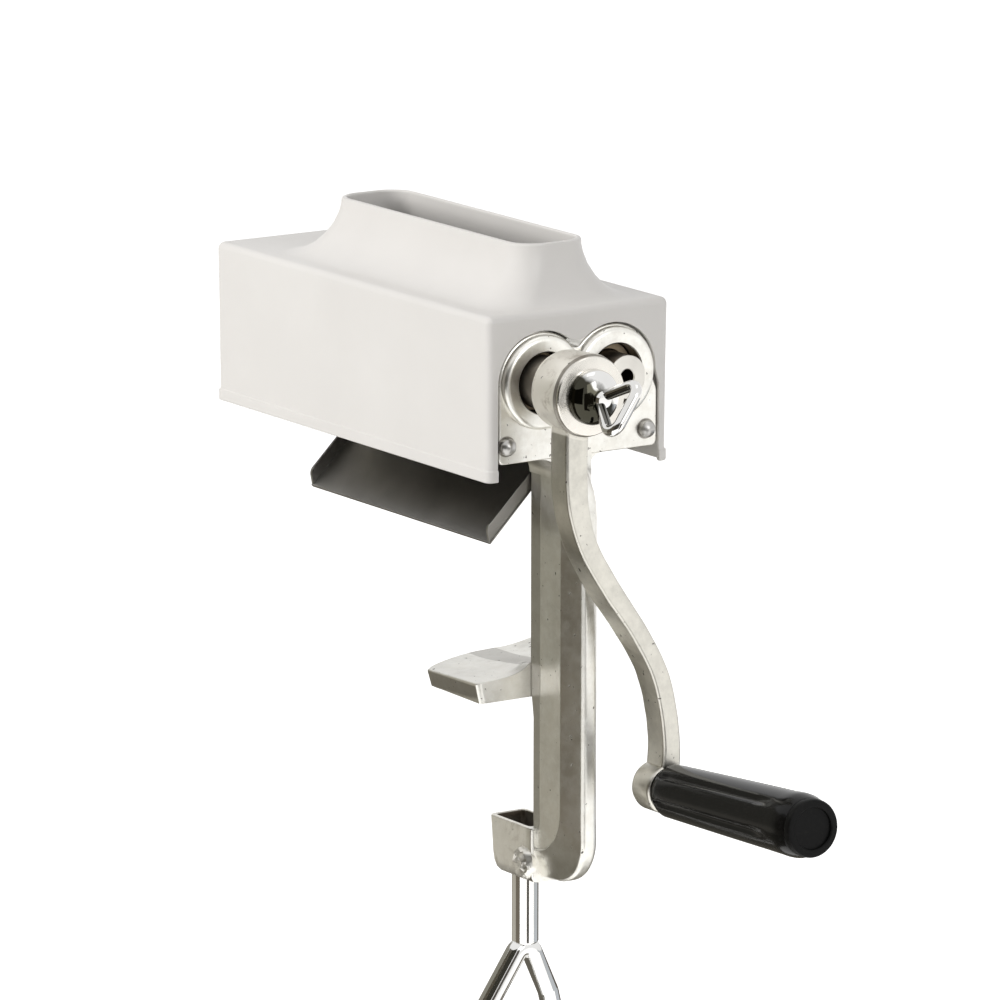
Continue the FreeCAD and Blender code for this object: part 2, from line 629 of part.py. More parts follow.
def grip():
    outline = [(0.0, 10.2), (3.0, 11.8), (GRIP_L * 0.5, 13.0), (GRIP_L - 14, 13.9), (GRIP_L - 8, 13.9),
               (GRIP_L - 4, 12.7)]
    bore = SPINDLE_R + 0.06
    edges = []
    points = [V(0, bore, 0)] + [V(a, r, 0) for a, r in outline] + [V(GRIP_L - 4, bore, 0)]
    for a, b in zip(points, points[1:] + points[:1]):
        edges.append(Part.LineSegment(a, b).toShape())
    body = Part.Face(Part.Wire(edges)).revolve(V(0, 0, 0), V(1, 0, 0), 360)
    for k in range(6):
        flute = block(8, GRIP_L - 22, -2.2, 2.2, FLUTE_FLOOR_R, 16.0)
        low = [e for e in flute.Edges if e.BoundBox.ZMax < FLUTE_FLOOR_R + 0.1 and e.BoundBox.XLength > 5]
        flute = flute.makeFillet(1.8, low)
        flute.rotate(V(0, 0, 0), V(1, 0, 0), 60 * k + 15)
        body = body.cut(flute)
    return grip_turned(body)


def grip_cap():
    ring = rod_x(12.6, GRIP_L - 4 + 0.02, GRIP_L)
    rim = [e for e in ring.Edges if abs(e.BoundBox.XMax - GRIP_L) < 0.01 and e.BoundBox.XLength < 0.01]
    ring = ring.makeFillet(1.5, rim)
    ring = ring.cut(rod_x(8.2, GRIP_L - 1.2, GRIP_L + 1))
    return grip_turned(ring.cut(rod_x(SPINDLE_R + 0.06, GRIP_L - 5, GRIP_L - 2)))


def grip_spindle():
    rod = rod_x(SPINDLE_R, -18.5, GRIP_L - 2.6)
    head = rod_x(6.2, -20.5, -16.6)
    return grip_turned(fuse(rod, head))


# Clamp screw forged in one with its bow, and the pad that it carries
def clamp_screw():
    rod = rod_z(SCREW_R, SCREW_Z0 - 1, PAD_Z0 - 0.3)
    tip = rod_z(3.0, PAD_Z0 - 0.4, PAD_Z1 - 3.2)
    loop = bow(BOW_CORNERS, BOW_ROD_R, lambda a, b: V(0, b, -a))
    return fuse(rod, tip, loop)


def clamp_pad():
    body = rod_z(PAD_R, PAD_Z0, PAD_Z1)
    rim = [e for e in body.Edges if abs(e.BoundBox.ZMin - PAD_Z0) < 0.01 and e.BoundBox.ZLength < 0.01]
    body = body.makeFillet(1.5, rim)
    return body.cut(rod_z(3.08, PAD_Z0 - 1, PAD_Z1 - 3.0))


def main():
    save("crank_end_frame", crank_end_frame())
    save("far_end_frame", far_end_frame())
    for which, y in AXES.items():
        side = -1 if which == "front" else 1
        save("bush_crank_end_" + which, bush(BOSS_X0, 35.0, y, BORE_R, JOURNAL_R))
        save("bush_far_end_" + which, bush(FAR_X0 - 1.5, FAR_X1 + 2, y, FAR_BORE_R, FAR_JOURNAL_R))
        save("tie_rod_" + which, tie_rod(side * TIE_Y))
        save("comb_" + which, comb(which))
        save(which + "_shaft", shaft(which))
        save(which + "_blades", blade_set(which))
        save(which + "_spacers", spacer_set(which))
        save(which + "_end_collars", end_collars(which))
        save(which + "_gear", gear(which))
        save(which + "_gear_ring", gear_ring(which))
    save("tie_nuts", Part.Compound([tie_nut(-TIE_Y), tie_nut(TIE_Y)]))
    save("chute", chute())
    save("chute_screws", Part.Compound([chute_screw(x) for x in CHUTE_SCREWS_X]))
    save("cover", cover())
    save("crank_arm", crank_arm())
    save("crank_washer", washer())
    save("thumb_screw", thumb_screw())
    save("grip", grip())
    save("grip_cap", grip_cap())
    save("grip_spindle", grip_spindle())
    save("clamp_screw", clamp_screw())
    save("clamp_pad", clamp_pad())


main()
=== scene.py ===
import math
import random

import bmesh
import bpy
from mathutils import Matrix, Vector, noise

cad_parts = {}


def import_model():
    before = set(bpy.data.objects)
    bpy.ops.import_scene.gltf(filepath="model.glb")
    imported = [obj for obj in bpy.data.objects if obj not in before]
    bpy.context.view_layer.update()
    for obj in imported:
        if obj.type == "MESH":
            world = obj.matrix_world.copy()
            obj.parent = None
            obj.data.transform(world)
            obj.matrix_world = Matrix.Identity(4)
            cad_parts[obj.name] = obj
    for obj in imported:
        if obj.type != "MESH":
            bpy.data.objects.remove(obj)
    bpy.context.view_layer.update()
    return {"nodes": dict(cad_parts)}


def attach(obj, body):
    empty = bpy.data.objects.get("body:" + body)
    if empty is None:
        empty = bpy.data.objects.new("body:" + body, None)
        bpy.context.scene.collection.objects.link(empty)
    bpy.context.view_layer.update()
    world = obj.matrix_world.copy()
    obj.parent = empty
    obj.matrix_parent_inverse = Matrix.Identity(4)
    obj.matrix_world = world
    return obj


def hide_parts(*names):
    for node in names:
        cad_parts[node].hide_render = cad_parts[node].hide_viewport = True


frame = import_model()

# Sizes in millimetres, in the part's own frame
MM = 0.001
ROLLER_Y = 18.3
ROLLER_Z = 144.9
FRONT = (0.0, -ROLLER_Y, ROLLER_Z)
REAR = (0.0, ROLLER_Y, ROLLER_Z)
PLATE_X0 = 30.0
PLATE_X1 = 38.8
PLATE_FOOT_Z = 110.5
BOSS_X0 = 26.0
BOSS_X1 = 42.5
BOSS_R = 20.6
BORE_R = 13.3
TIE_Y = 36.0
TIE_Z = 118.5
COVER_X = (-181.5, 40.0)
COVER_Y = (-46.2, 47.5)
COVER_Z = (103.5, 175.5)
WALL = 2.5
WINDOW_FRONT_Y = -40.5
ARM_X = (60.0, 73.4)
EYE = (25.6, -33.6)
SEAT_X = 77.82
LOOP_R = 2.5
GRIP_X0 = 75.0
GRIP_L = 113.0
BOW_R = 4.7
WELD = 0.002


# Mesh helpers. Every point is given in millimetres.
def new_object(name, points, faces):
    mesh = bpy.data.meshes.new(name)
    mesh.from_pydata([Vector(p) * MM for p in points], [], faces)
    mesh.update()
    obj = bpy.data.objects.new(name, mesh)
    bpy.context.scene.collection.objects.link(obj)
    return obj


def loft(name, loops, ring=False):
    """A skin through closed loops of equally many points. A ring also joins the last loop to the first."""
    count = len(loops[0])
    points = [p for loop in loops for p in loop]
    faces = []
    for i in range(len(loops) if ring else len(loops) - 1):
        a = i * count
        b = ((i + 1) % len(loops)) * count
        for k in range(count):
            n = (k + 1) % count
            faces.append((a + k, a + n, b + n, b + k))
    if not ring:
        faces.append(tuple(reversed(range(count))))
        faces.append(tuple(range(len(points) - count, len(points))))
    obj = new_object(name, points, faces)
    outwards(obj)
    return obj


def outwards(obj):
    mesh = bmesh.new()
    mesh.from_mesh(obj.data)
    bmesh.ops.recalc_face_normals(mesh, faces=mesh.faces)
    mesh.to_mesh(obj.data)
    mesh.free()


def rounded(corners, steps):
    """Points (a, b) of a closed outline whose corners (a, b, radius) are turned by tangent arcs."""
    out = []
    count = len(corners)
    for i in range(count):
        here = Vector(corners[i][:2])
        radius = corners[i][2]
        back = (Vector(corners[i - 1][:2]) - here).normalized()
        ahead = (Vector(corners[(i + 1) % count][:2]) - here).normalized()
        if radius <= 0:
            out.append(tuple(here))
            continue
        half = back.angle(ahead) / 2
        middle = (back + ahead).normalized()
        centre = here + middle * (radius / math.sin(half))
        p_in = here + back * (radius / math.tan(half))
        p_out = here + ahead * (radius / math.tan(half))
        a0 = math.atan2(*(p_in - centre).yx)
        a1 = math.atan2(*(p_out - centre).yx)
        turn = (a1 - a0 + math.pi) % (2 * math.pi) - math.pi
        for k in range(steps + 1):
            angle = a0 + turn * k / steps
            out.append((centre.x + radius * math.cos(angle), centre.y + radius * math.sin(angle)))
    return out


def rect(a0, b0, a1, b1, radius, steps):
    return rounded([(a0, b0, radius), (a1, b0, radius), (a1, b1, radius), (a0, b1, radius)], steps)


def prism_x(name, outline, x0, x1):
    return loft(name, [[(x, a, b) for a, b in outline] for x in (x0, x1)])


def prism_z(name, outline, z0, z1):
    return loft(name, [[(a, b, z) for a, b in outline] for z in (z0, z1)])


def lathe(name, profile, centre=(0, 0, 0), steps=72):
    """Turns a closed profile of (x, radius) about an axis along X through centre."""
    count = len(profile)
    points, faces = [], []
    for i in range(steps):
        c, s = math.cos(2 * math.pi * i / steps), math.sin(2 * math.pi * i / steps)
        points += [(centre[0] + x, centre[1] + r * c, centre[2] + r * s) for x, r in profile]
        a, b = i * count, ((i + 1) % steps) * count
        for k in range(count):
            n = (k + 1) % count
            faces.append((a + k, b + k, b + n, a + n))
    obj = new_object(name, points, faces)
    weld(obj)
    outwards(obj)
    return obj


def weld(obj):
    mesh = bmesh.new()
    mesh.from_mesh(obj.data)
    bmesh.ops.remove_doubles(mesh, verts=mesh.verts, dist=WELD * MM)
    bmesh.ops.dissolve_degenerate(mesh, edges=mesh.edges, dist=WELD * MM)
    mesh.to_mesh(obj.data)
    mesh.free()


def tube(name, path, radius, steps=28):
    """A round rod along a closed path of points."""
    points = [Vector(p) for p in path]
    count = len(points)
    angles = [2 * math.pi * k / steps for k in range(steps)]
    loops = []
    side = None
    for i in range(count):
        along = (points[(i + 1) % count] - points[i - 1]).normalized()
        if side is None:
            side = along.orthogonal().normalized()
        side = (side - along * side.dot(along)).normalized()
        other = along.cross(side)
        loops.append([points[i] + (side * math.cos(t) + other * math.sin(t)) * radius for t in angles])
    return loft(name, loops, ring=True)


def stand_up(obj):
    """Turns a piece made along x so that it stands along z."""
    obj.data.transform(Matrix.Rotation(-math.pi / 2, 4, "Y"))
    return obj


def apply_modifiers(obj):
    graph = bpy.context.evaluated_depsgraph_get()
    mesh = bpy.data.meshes.new_from_object(obj.evaluated_get(graph))
    obj.modifiers.clear()
    obj.data = mesh


def combine(obj, others, operation):
    for other in others:
        step = obj.modifiers.new("step", "BOOLEAN")
        step.operation = operation
        step.solver = "EXACT"
        step.object = other
        apply_modifiers(obj)
        bpy.data.objects.remove(other)
    return obj


def cut(obj, *others):
    return combine(obj, others, "DIFFERENCE")


def unite(obj, *others):
    return combine(obj, others, "UNION")


def join(name, objs):
    """Several meshes as one object, each kept as it is."""
    points, faces = [], []
    for obj in objs:
        start = len(points)
        points += [v.co / MM for v in obj.data.vertices]
        faces += [tuple(start + i for i in p.vertices) for p in obj.data.polygons]
        bpy.data.objects.remove(obj)
    return new_object(name, points, faces)


def soften(obj, width, segments=3, angle=32):
    edge = obj.modifiers.new("edge", "BEVEL")
    edge.width = width * MM
    edge.segments = segments
    edge.limit_method = "ANGLE"
    edge.angle_limit = math.radians(angle)
    edge.harden_normals = False
    edge.use_clamp_overlap = True
    apply_modifiers(obj)
    return obj


def smooth(obj):
    """Smooth shading with the flats kept flat and edges of more than 38 degrees kept sharp."""
    mesh = obj.data
    mesh.shade_smooth()
    mesh.set_sharp_from_angle(angle=math.radians(38))
    flats = obj.modifiers.new("flats", "WEIGHTED_NORMAL")
    flats.keep_sharp = True
    flats.weight = 90
    return obj


def dress(obj, material, body, replaced):
    """Gives a piece its finish, its body and the CAD nodes whose place it takes."""
    obj.data.materials.clear()
    obj.data.materials.append(material)
    smooth(obj)
    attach(obj, body)
    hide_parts(*replaced)
    return obj


def bump_points(obj, height, size, seed=0.0):
    """Moves each point a little along its normal by smooth noise, as on a sand casting."""
    mesh = obj.data
    normals = [v.normal.copy() for v in mesh.vertices]
    for v, n in zip(mesh.vertices, normals):
        v.co += n * (noise.noise(v.co / (size * MM) + Vector((seed, 0, 0))) * height * MM)
    return obj


# Shader helpers: a socket that takes part in sums, and one method for every other node
class Wire:
    """A socket on which Python's operators add Math nodes."""

    def __init__(self, tree, socket):
        self.tree = tree
        self.socket = socket

    def _math(self, operation, a, b):
        node = self.tree.nodes.new("ShaderNodeMath")
        node.operation = operation
        for k, value in enumerate((a, b)):
            if isinstance(value, Wire):
                self.tree.links.new(value.socket, node.inputs[k])
            else:
                node.inputs[k].default_value = value
        return Wire(self.tree, node.outputs[0])

    def __add__(self, other):
        return self._math("ADD", self, other)

    def __radd__(self, other):
        return self._math("ADD", other, self)

    def __sub__(self, other):
        return self._math("SUBTRACT", self, other)

    def __rsub__(self, other):
        return self._math("SUBTRACT", other, self)

    def __mul__(self, other):
        return self._math("MULTIPLY", self, other)

    def __rmul__(self, other):
        return self._math("MULTIPLY", other, self)

    def __pow__(self, other):
        return self._math("POWER", self, other)


class Nodes:
    """The emptied node tree of a material or world, and the one method that adds a node to it."""

    def __init__(self, owner):
        owner.use_nodes = True
        self.tree = owner.node_tree
        self.tree.nodes.clear()

    def node(self, kind, settings=(), output=0, **sockets):
        """A socket is named with _ for each space, or i0, i1 and so on by its number."""
        node = self.tree.nodes.new(kind)
        for key, value in dict(settings).items():
            if key == "stops":
                ramp = node.color_ramp
                while len(ramp.elements) < len(value):
                    ramp.elements.new(0.5)
                for element, (position, grey) in zip(ramp.elements, value):
                    element.position = position
                    element.color = (grey, grey, grey, 1)
            else:
                setattr(node, key, value)
        for key, value in sockets.items():
            numbered = key[0] == "i" and key[1:].isdigit()
            socket = node.inputs[int(key[1:]) if numbered else key.replace("_", " ")]
            if isinstance(value, Wire):
                self.tree.links.new(value.socket, socket)
            else:
                socket.default_value = value
        return Wire(self.tree, node.outputs[output]) if node.outputs else None

    def rays(self, *kinds):
        """1 on rays of the kinds named and 0 on all others."""
        found = self.node("ShaderNodeLightPath", output=kinds[0])
        for kind in kinds[1:]:
            other = self.node("ShaderNodeLightPath", output=kind)
            found = self.node("ShaderNodeMath", {"operation": "MAXIMUM"}, i0=found, i1=other)
        return found


class Finish(Nodes):
    """A material with short ways to the nodes that a finish needs."""

    def __init__(self, name, **constants):
        self.material = bpy.data.materials.new(name)
        super().__init__(self.material)
        self.shader = self.tree.nodes.new("ShaderNodeBsdfPrincipled")
        for key, value in constants.items():
            self.shader.inputs[key.replace("_", " ")].default_value = value
        self.node("ShaderNodeOutputMaterial", Surface=Wire(self.tree, self.shader.outputs[0]))
        self.place = self.node("ShaderNodeTexCoord", output="Object")

    def noise(self, scale, detail, rough, place=None, distortion=0.0):
        return self.node("ShaderNodeTexNoise", output="Fac", Vector=place or self.place, Scale=scale,
                         Detail=detail, Roughness=rough, Distortion=distortion)

    def stretched(self, x, y, z):
        return self.node("ShaderNodeMapping", Vector=self.place, Scale=(x, y, z))

    def ramp(self, value, *stops):
        return self.node("ShaderNodeValToRGB", {"stops": stops}, Fac=value)

    def mix(self, share, a, b):
        a, b = ((*c, 1) if isinstance(c, tuple) else c for c in (a, b))
        return self.node("ShaderNodeMix", {"data_type": "RGBA"}, output=2, i0=share, i6=a, i7=b)

    def blend(self, value, low, high, a, b):
        """Colour a where value is below low, b where it is above high, and a mix between."""
        return self.mix(self.ramp(value, (low, 0.0), (high, 1.0)), a, b)

    def along(self, k):
        return self.node("ShaderNodeSeparateXYZ", output=k, Vector=self.place)

    def across(self):
        """The distance from the machine's middle plane."""
        return self.node("ShaderNodeMath", {"operation": "ABSOLUTE"}, i0=self.along(1))

    def from_bore(self):
        """The distance from the axis of the nearer roller."""
        y = self.across() - ROLLER_Y * MM
        z = self.along(2) - ROLLER_Z * MM
        return (y * y + z * z) ** 0.5

    def before(self, value, limit, soft):
        """1 where value is below limit and 0 above. limit and soft are in millimetres."""
        return self.node("ShaderNodeMapRange", Value=value, i1=(limit + soft) * MM, i2=(limit - soft) * MM)

    def bump(self, height, strength, distance):
        return self.node("ShaderNodeBump", Height=height, Strength=strength, Distance=distance * MM)

    def set(self, **sockets):
        for key, value in sockets.items():
            self.tree.links.new(value.socket, self.shader.inputs[key.replace("_", " ")])
        return self.material


# Finishes
def moulded_white():
    f = Finish("moulded_white", IOR=1.46, Specular_IOR_Level=0.5)
    clouds = f.noise(14.0, 4.0, 0.55)
    handling = f.noise(55.0, 5.0, 0.6)
    grain = f.noise(2600.0, 2.0, 0.5)
    colour = f.blend(clouds, 0.35, 0.7, (0.800, 0.785, 0.765), (0.835, 0.820, 0.800))
    rough = 0.30 + handling * 0.14
    return f.set(Base_Color=colour, Roughness=rough, Normal=f.bump(grain + handling * 0.6, 0.10, 0.05))


def cast_grey(name, tint, shade_and_oil, painted_light):
    """The two functions given make the wires: the first is 1 where shade is painted dark (on the frame also
    with some old oil in the bores), and the second is 1 where light is painted on the casting, where its
    stains also lie.
    """
    f = Finish(name)
    clouds = f.noise(38.0, 5.0, 0.6)
    mottle = f.noise(190.0, 4.0, 0.65)
    sand = f.noise(900.0, 3.0, 0.6)
    hollow = f.ramp(f.noise(420.0, 2.0, 0.5, distortion=0.4), (0.70, 0.0), (0.745, 1.0))
    lit = painted_light(f)
    stain = f.ramp(f.noise(75.0, 5.0, 0.7, distortion=0.5), (0.53, 0.0), (0.66, 1.0)) * lit
    base = f.blend(clouds, 0.32, 0.68, tuple(c * 0.80 for c in tint), tint)
    base = f.mix(f.ramp(mottle, (0.38, 0.0), (0.72, 0.55)), base, tuple(min(1.0, c * 1.22) for c in tint))
    # Painted light: lighter, and further down less metallic, where the second wire is 1.
    base = f.mix(lit * 0.8, base, (0.90, 0.87, 0.79))
    base = f.mix(stain * 0.55, base, (0.30, 0.25, 0.19))
    base = f.mix(hollow * 0.85, base, (0.045, 0.040, 0.032))
    # Painted shade: darker where the first wire is 1; on the frame there is some old oil in the bores too.
    base = f.mix(shade_and_oil(f) * (0.75 + clouds * 0.3), base, (0.085, 0.068, 0.050))
    rough = 0.25 + mottle * 0.18 + hollow * 0.3
    height = mottle * 0.5 + sand * 0.22 - hollow * 1.2
    metal = 1.0 - lit * 0.38
    return f.set(Base_Color=base, Metallic=metal, Roughness=rough, Normal=f.bump(height, 0.32, 0.18))


def painted_shade_and_oil(f):
    """Painted shade, with some old oil in the bores: dark in the bores and the cup, round the rods' heads and
    on the rest's edge; also a little darker on the leg's band.
    """
    x, z, across = f.along(0), f.along(2), f.across()
    bores = f.before(f.from_bore(), BORE_R + 0.15, 0.15)
    cup = f.before(x * -1.0, 12.9, 0.1) * f.before(x, 15.2, 0.2) * f.before(across, 7.9, 0.1)
    cup = cup * f.before(z, -58.2, 0.2) * f.before(z * -1.0, 75.0, 0.5)
    band = f.before(x, 21.3, 0.2) * f.before(across, 7.1, 0.1)
    band = band * f.before(z * -1.0, 58.0, 4.0) * f.before(z, 106.0, 3.0)
    from_rod = ((across - TIE_Y * MM) ** 2.0 + (z - TIE_Z * MM) ** 2.0) ** 0.5
    edge = f.before(f.along(1), -33.4, 0.2) * f.before(z, 7.9, 0.3)
    edge = edge * f.before(z * -1.0, 1.0, 0.5) * f.before(x, 12.7, 0.2)
    return bores + cup + band * 0.42 + f.before(from_rod, 4.5, 0.15) * 0.8 + edge * 0.62


# Painted light: the cup and the leg's foot below it are made lighter.
def cup_painted_light(f):
    return f.before(f.along(2), -57.5, 0.5) * f.before(f.along(0), 15.0, 1.0) * 0.6


# Painted light: the hub round the bore is made lighter.
def hub_painted_light(f):
    return f.before(f.from_bore(), 19.4, 0.3)


def hub_painted_shade(f):
    """Painted shade behind the hub, and in the fine gap round the washer."""
    rim = f.before(f.along(0) * -1.0, -74.6, 0.15) * f.before(f.from_bore() * -1.0, -16.9, 0.15)
    return f.before(f.along(0), 54.3, 0.5) + rim * 0.8


def polished_chrome(name, dark=None):
    """dark makes the wire that is 1 where a dark reflection is painted on the chrome."""
    f = Finish(name, Metallic=1.0)
    wipes = f.noise(160.0, 4.0, 0.6, f.stretched(1.0, 1.0, 0.25))
    haze = f.noise(30.0, 3.0, 0.5)
    base = f.blend(haze, 0.3, 0.7, (0.74, 0.73, 0.71), (0.86, 0.86, 0.85))
    if dark:
        # Painted dark reflection where that wire is 1.
        base = f.mix(dark(f), base, (0.05, 0.048, 0.036))
    rough = 0.05 + f.ramp(wipes, (0.45, 0.0), (0.8, 1.0)) * 0.10
    return f.set(Base_Color=base, Roughness=rough, Normal=f.bump(wipes, 0.04, 0.03))


def dome_painted_reflection(f):
    """Painted dark reflection on the lower half of the dome, with a wavy border."""
    y = f.along(1) + ROLLER_Y * MM
    z = f.along(2) - ROLLER_Z * MM
    level = (y * 0.75 + z * 0.62) + (f.noise(110.0, 3.0, 0.5) - 0.5) * 0.009
    return f.before(level, 2.6, 1.3) * f.before(f.along(0), 86.2, 0.2)


# Painted dark reflection for the loop's inner side, a little patchy.
def loop_painted_reflection(f):
    return f.ramp(f.noise(30.0, 3.0, 0.5), (0.2, 0.75), (0.6, 1.0))


def shaded_steel():
    """Turned steel with painted shade along the shaft, and none on its end face."""
    f = Finish("shaded_steel", Metallic=1.0)
    marks = f.noise(300.0, 4.0, 0.6, f.stretched(6.0, 0.6, 0.6))
    clouds = f.noise(60.0, 4.0, 0.55)
    # Painted shade along the shaft, up to its end face.
    tone = f.before(f.along(0), 50.2, 0.1) * (0.8 + clouds * 0.3)
    unshaded = f.blend(clouds, 0.3, 0.7, (0.62, 0.60, 0.56), (0.74, 0.72, 0.67))
    base = f.mix(tone, unshaded, (0.10, 0.080, 0.062))
    return f.set(Base_Color=base, Roughness=0.30 + marks * 0.16, Normal=f.bump(marks, 0.12, 0.04))


def turned_steel(name, tint, rough):
    f = Finish(name, Metallic=1.0)
    marks = f.noise(300.0, 4.0, 0.6, f.stretched(6.0, 0.6, 0.6))
    clouds = f.noise(45.0, 3.0, 0.5)
    base = f.blend(clouds, 0.3, 0.7, tuple(c * 0.8 for c in tint), tint)
    return f.set(Base_Color=base, Roughness=rough + marks * 0.16, Normal=f.bump(marks, 0.12, 0.04))


def brushed_sheet():
    f = Finish("brushed_sheet", Metallic=1.0)
    lines = f.noise(420.0, 4.0, 0.65, f.stretched(0.12, 5.0, 5.0))
    clouds = f.noise(26.0, 3.0, 0.5)
    base = f.blend(clouds, 0.3, 0.7, (0.36, 0.35, 0.335), (0.50, 0.49, 0.47))
    return f.set(Base_Color=base, Roughness=0.24 + lines * 0.2, Normal=f.bump(lines, 0.10, 0.03))


def bearing_metal():
    f = Finish("bearing_metal", Metallic=1.0)
    pores = f.noise(900.0, 3.0, 0.6)
    tone = f.noise(60.0, 4.0, 0.5)
    base = f.blend(tone, 0.35, 0.65, (0.16, 0.125, 0.085), (0.34, 0.28, 0.20))
    return f.set(Base_Color=base, Roughness=0.35 + pores * 0.2, Normal=f.bump(pores, 0.2, 0.04))


def glossy_black():
    f = Finish("glossy_black", IOR=1.45, Specular_IOR_Level=0.26)
    dust = f.noise(700.0, 3.0, 0.6)
    flow = f.noise(60.0, 3.0, 0.5, f.stretched(0.3, 1.0, 1.0))
    base = f.blend(dust, 0.55, 0.85, (0.003, 0.003, 0.003), (0.012, 0.011, 0.011))
    return f.set(Base_Color=base, Roughness=0.10 + flow * 0.10 + dust * 0.04, Normal=f.bump(flow, 0.12, 0.08))


def matt_black():
    f = Finish("matt_black", IOR=1.45, Specular_IOR_Level=0.16)
    dust = f.noise(500.0, 3.0, 0.6)
    base = f.blend(dust, 0.5, 0.85, (0.003, 0.003, 0.003), (0.010, 0.010, 0.009))
    return f.set(Base_Color=base, Roughness=0.42 + dust * 0.18, Normal=f.bump(dust, 0.2, 0.05))


WHITE = moulded_white()
CAST = cast_grey("cast_grey", (0.87, 0.85, 0.79), painted_shade_and_oil, cup_painted_light)
CRANK_CAST = cast_grey("crank_cast", (0.66, 0.64, 0.58), hub_painted_shade, hub_painted_light)
CHROME = polished_chrome("polished_chrome")
DOME_CHROME = polished_chrome("dome_chrome", dome_painted_reflection)
LOOP_SHADE = polished_chrome("loop_shade", loop_painted_reflection)
STEEL = turned_steel("turned_steel", (0.56, 0.55, 0.53), 0.26)
WASHER_STEEL = turned_steel("washer_steel", (0.84, 0.81, 0.75), 0.16)
SHAFT_STEEL = shaded_steel()
BLADE_STEEL = turned_steel("blade_steel", (0.62, 0.62, 0.61), 0.20)
SHEET = brushed_sheet()
BEARING = bearing_metal()
BLACK = glossy_black()
CAP_BLACK = matt_black()

# CAD nodes that are shown as they are, each with its finish
CARRIED = {
    "far_end_frame": CAST, "bush_far_end_front": BEARING, "bush_far_end_rear": BEARING,
    "comb_front": STEEL, "comb_rear": STEEL, "tie_nuts": STEEL, "chute_screws": STEEL,
    "front_spacers": STEEL, "front_end_collars": STEEL, "front_gear_ring": STEEL, "front_gear": BLADE_STEEL,
    "rear_spacers": STEEL, "rear_end_collars": STEEL, "rear_gear_ring": STEEL, "rear_gear": BLADE_STEEL,
}


def dress_carried_nodes():
    for name, material in CARRIED.items():
        node = frame["nodes"][name]
        node.data.materials.clear()
        node.data.materials.append(material)


# Cover: one skin from the lower edge, over the top, up the hopper, and back down inside
def box_ring(z, step_in, radius):
    x0, x1 = COVER_X[0] + step_in, COVER_X[1] - step_in
    y0, y1 = COVER_Y[0] + step_in, COVER_Y[1] - step_in
    return [(a, b, z) for a, b in rect(x0, y0, x1, y1, radius, 10)]


# Stations up the hopper: height, both ends along x, half width, corner radius
HOPPER = [
    (175.5, -150.5, 36.6, 38.5, 17.0), (176.0, -147.0, 34.6, 35.4, 16.5), (177.4, -142.8, 31.8, 31.8, 16.0),
    (180.2, -138.6, 29.3, 27.8, 15.0), (184.5, -134.9, 27.0, 24.2, 14.0), (189.6, -132.1, 25.3, 21.2, 13.5),
    (194.6, -130.2, 24.2, 19.4, 13.0), (198.4, -129.4, 23.8, 18.6, 13.0), (200.4, -129.3, 23.9, 18.5, 13.0),
    (201.2, -128.9, 23.6, 18.1, 12.6), (201.5, -128.1, 22.9, 17.4, 12.0),
]


def hopper_ring(station, step_in=0.0, drop=0.0):
    z, x0, x1, half, radius = station
    corner = max(radius - step_in, 1.0)
    outline = rect(x0 + step_in, -half + step_in, x1 - step_in, half - step_in, corner, 10)
    return [(a, b, z - drop) for a, b in outline]


def heart(radius, side_y, bottom_z, notch):
    """The outline round both bosses: two arcs that meet in a notch of its own radius, and straight sides."""
    steps = 40
    reach = math.acos(ROLLER_Y / radius)
    points = [(-side_y, bottom_z)]
    if side_y > ROLLER_Y + radius + 0.1:
        points.append((-side_y, ROLLER_Z - 7.0))
    for k in range(steps + 1):
        angle = math.pi + (reach - math.pi) * k / steps
        points.append((-ROLLER_Y + radius * math.cos(angle), ROLLER_Z + radius * math.sin(angle)))
    points += [(-a, b) for a, b in reversed(points)]
    tip_z = ROLLER_Z + radius * math.sin(reach)
    height = ROLLER_Z + math.sqrt((radius + notch) ** 2 - ROLLER_Y ** 2)
    keep = [p for p in points if abs(p[0]) > ROLLER_Y * notch / (radius + notch) or p[1] < tip_z - 6]
    half = math.atan2(ROLLER_Y, height - ROLLER_Z)
    dip = []
    for k in range(13):
        angle = -math.pi / 2 - half + 2 * half * k / 12
        dip.append((notch * math.cos(angle), height + notch * math.sin(angle)))
    middle = len(keep) // 2
    return keep[:middle] + dip + keep[middle:]


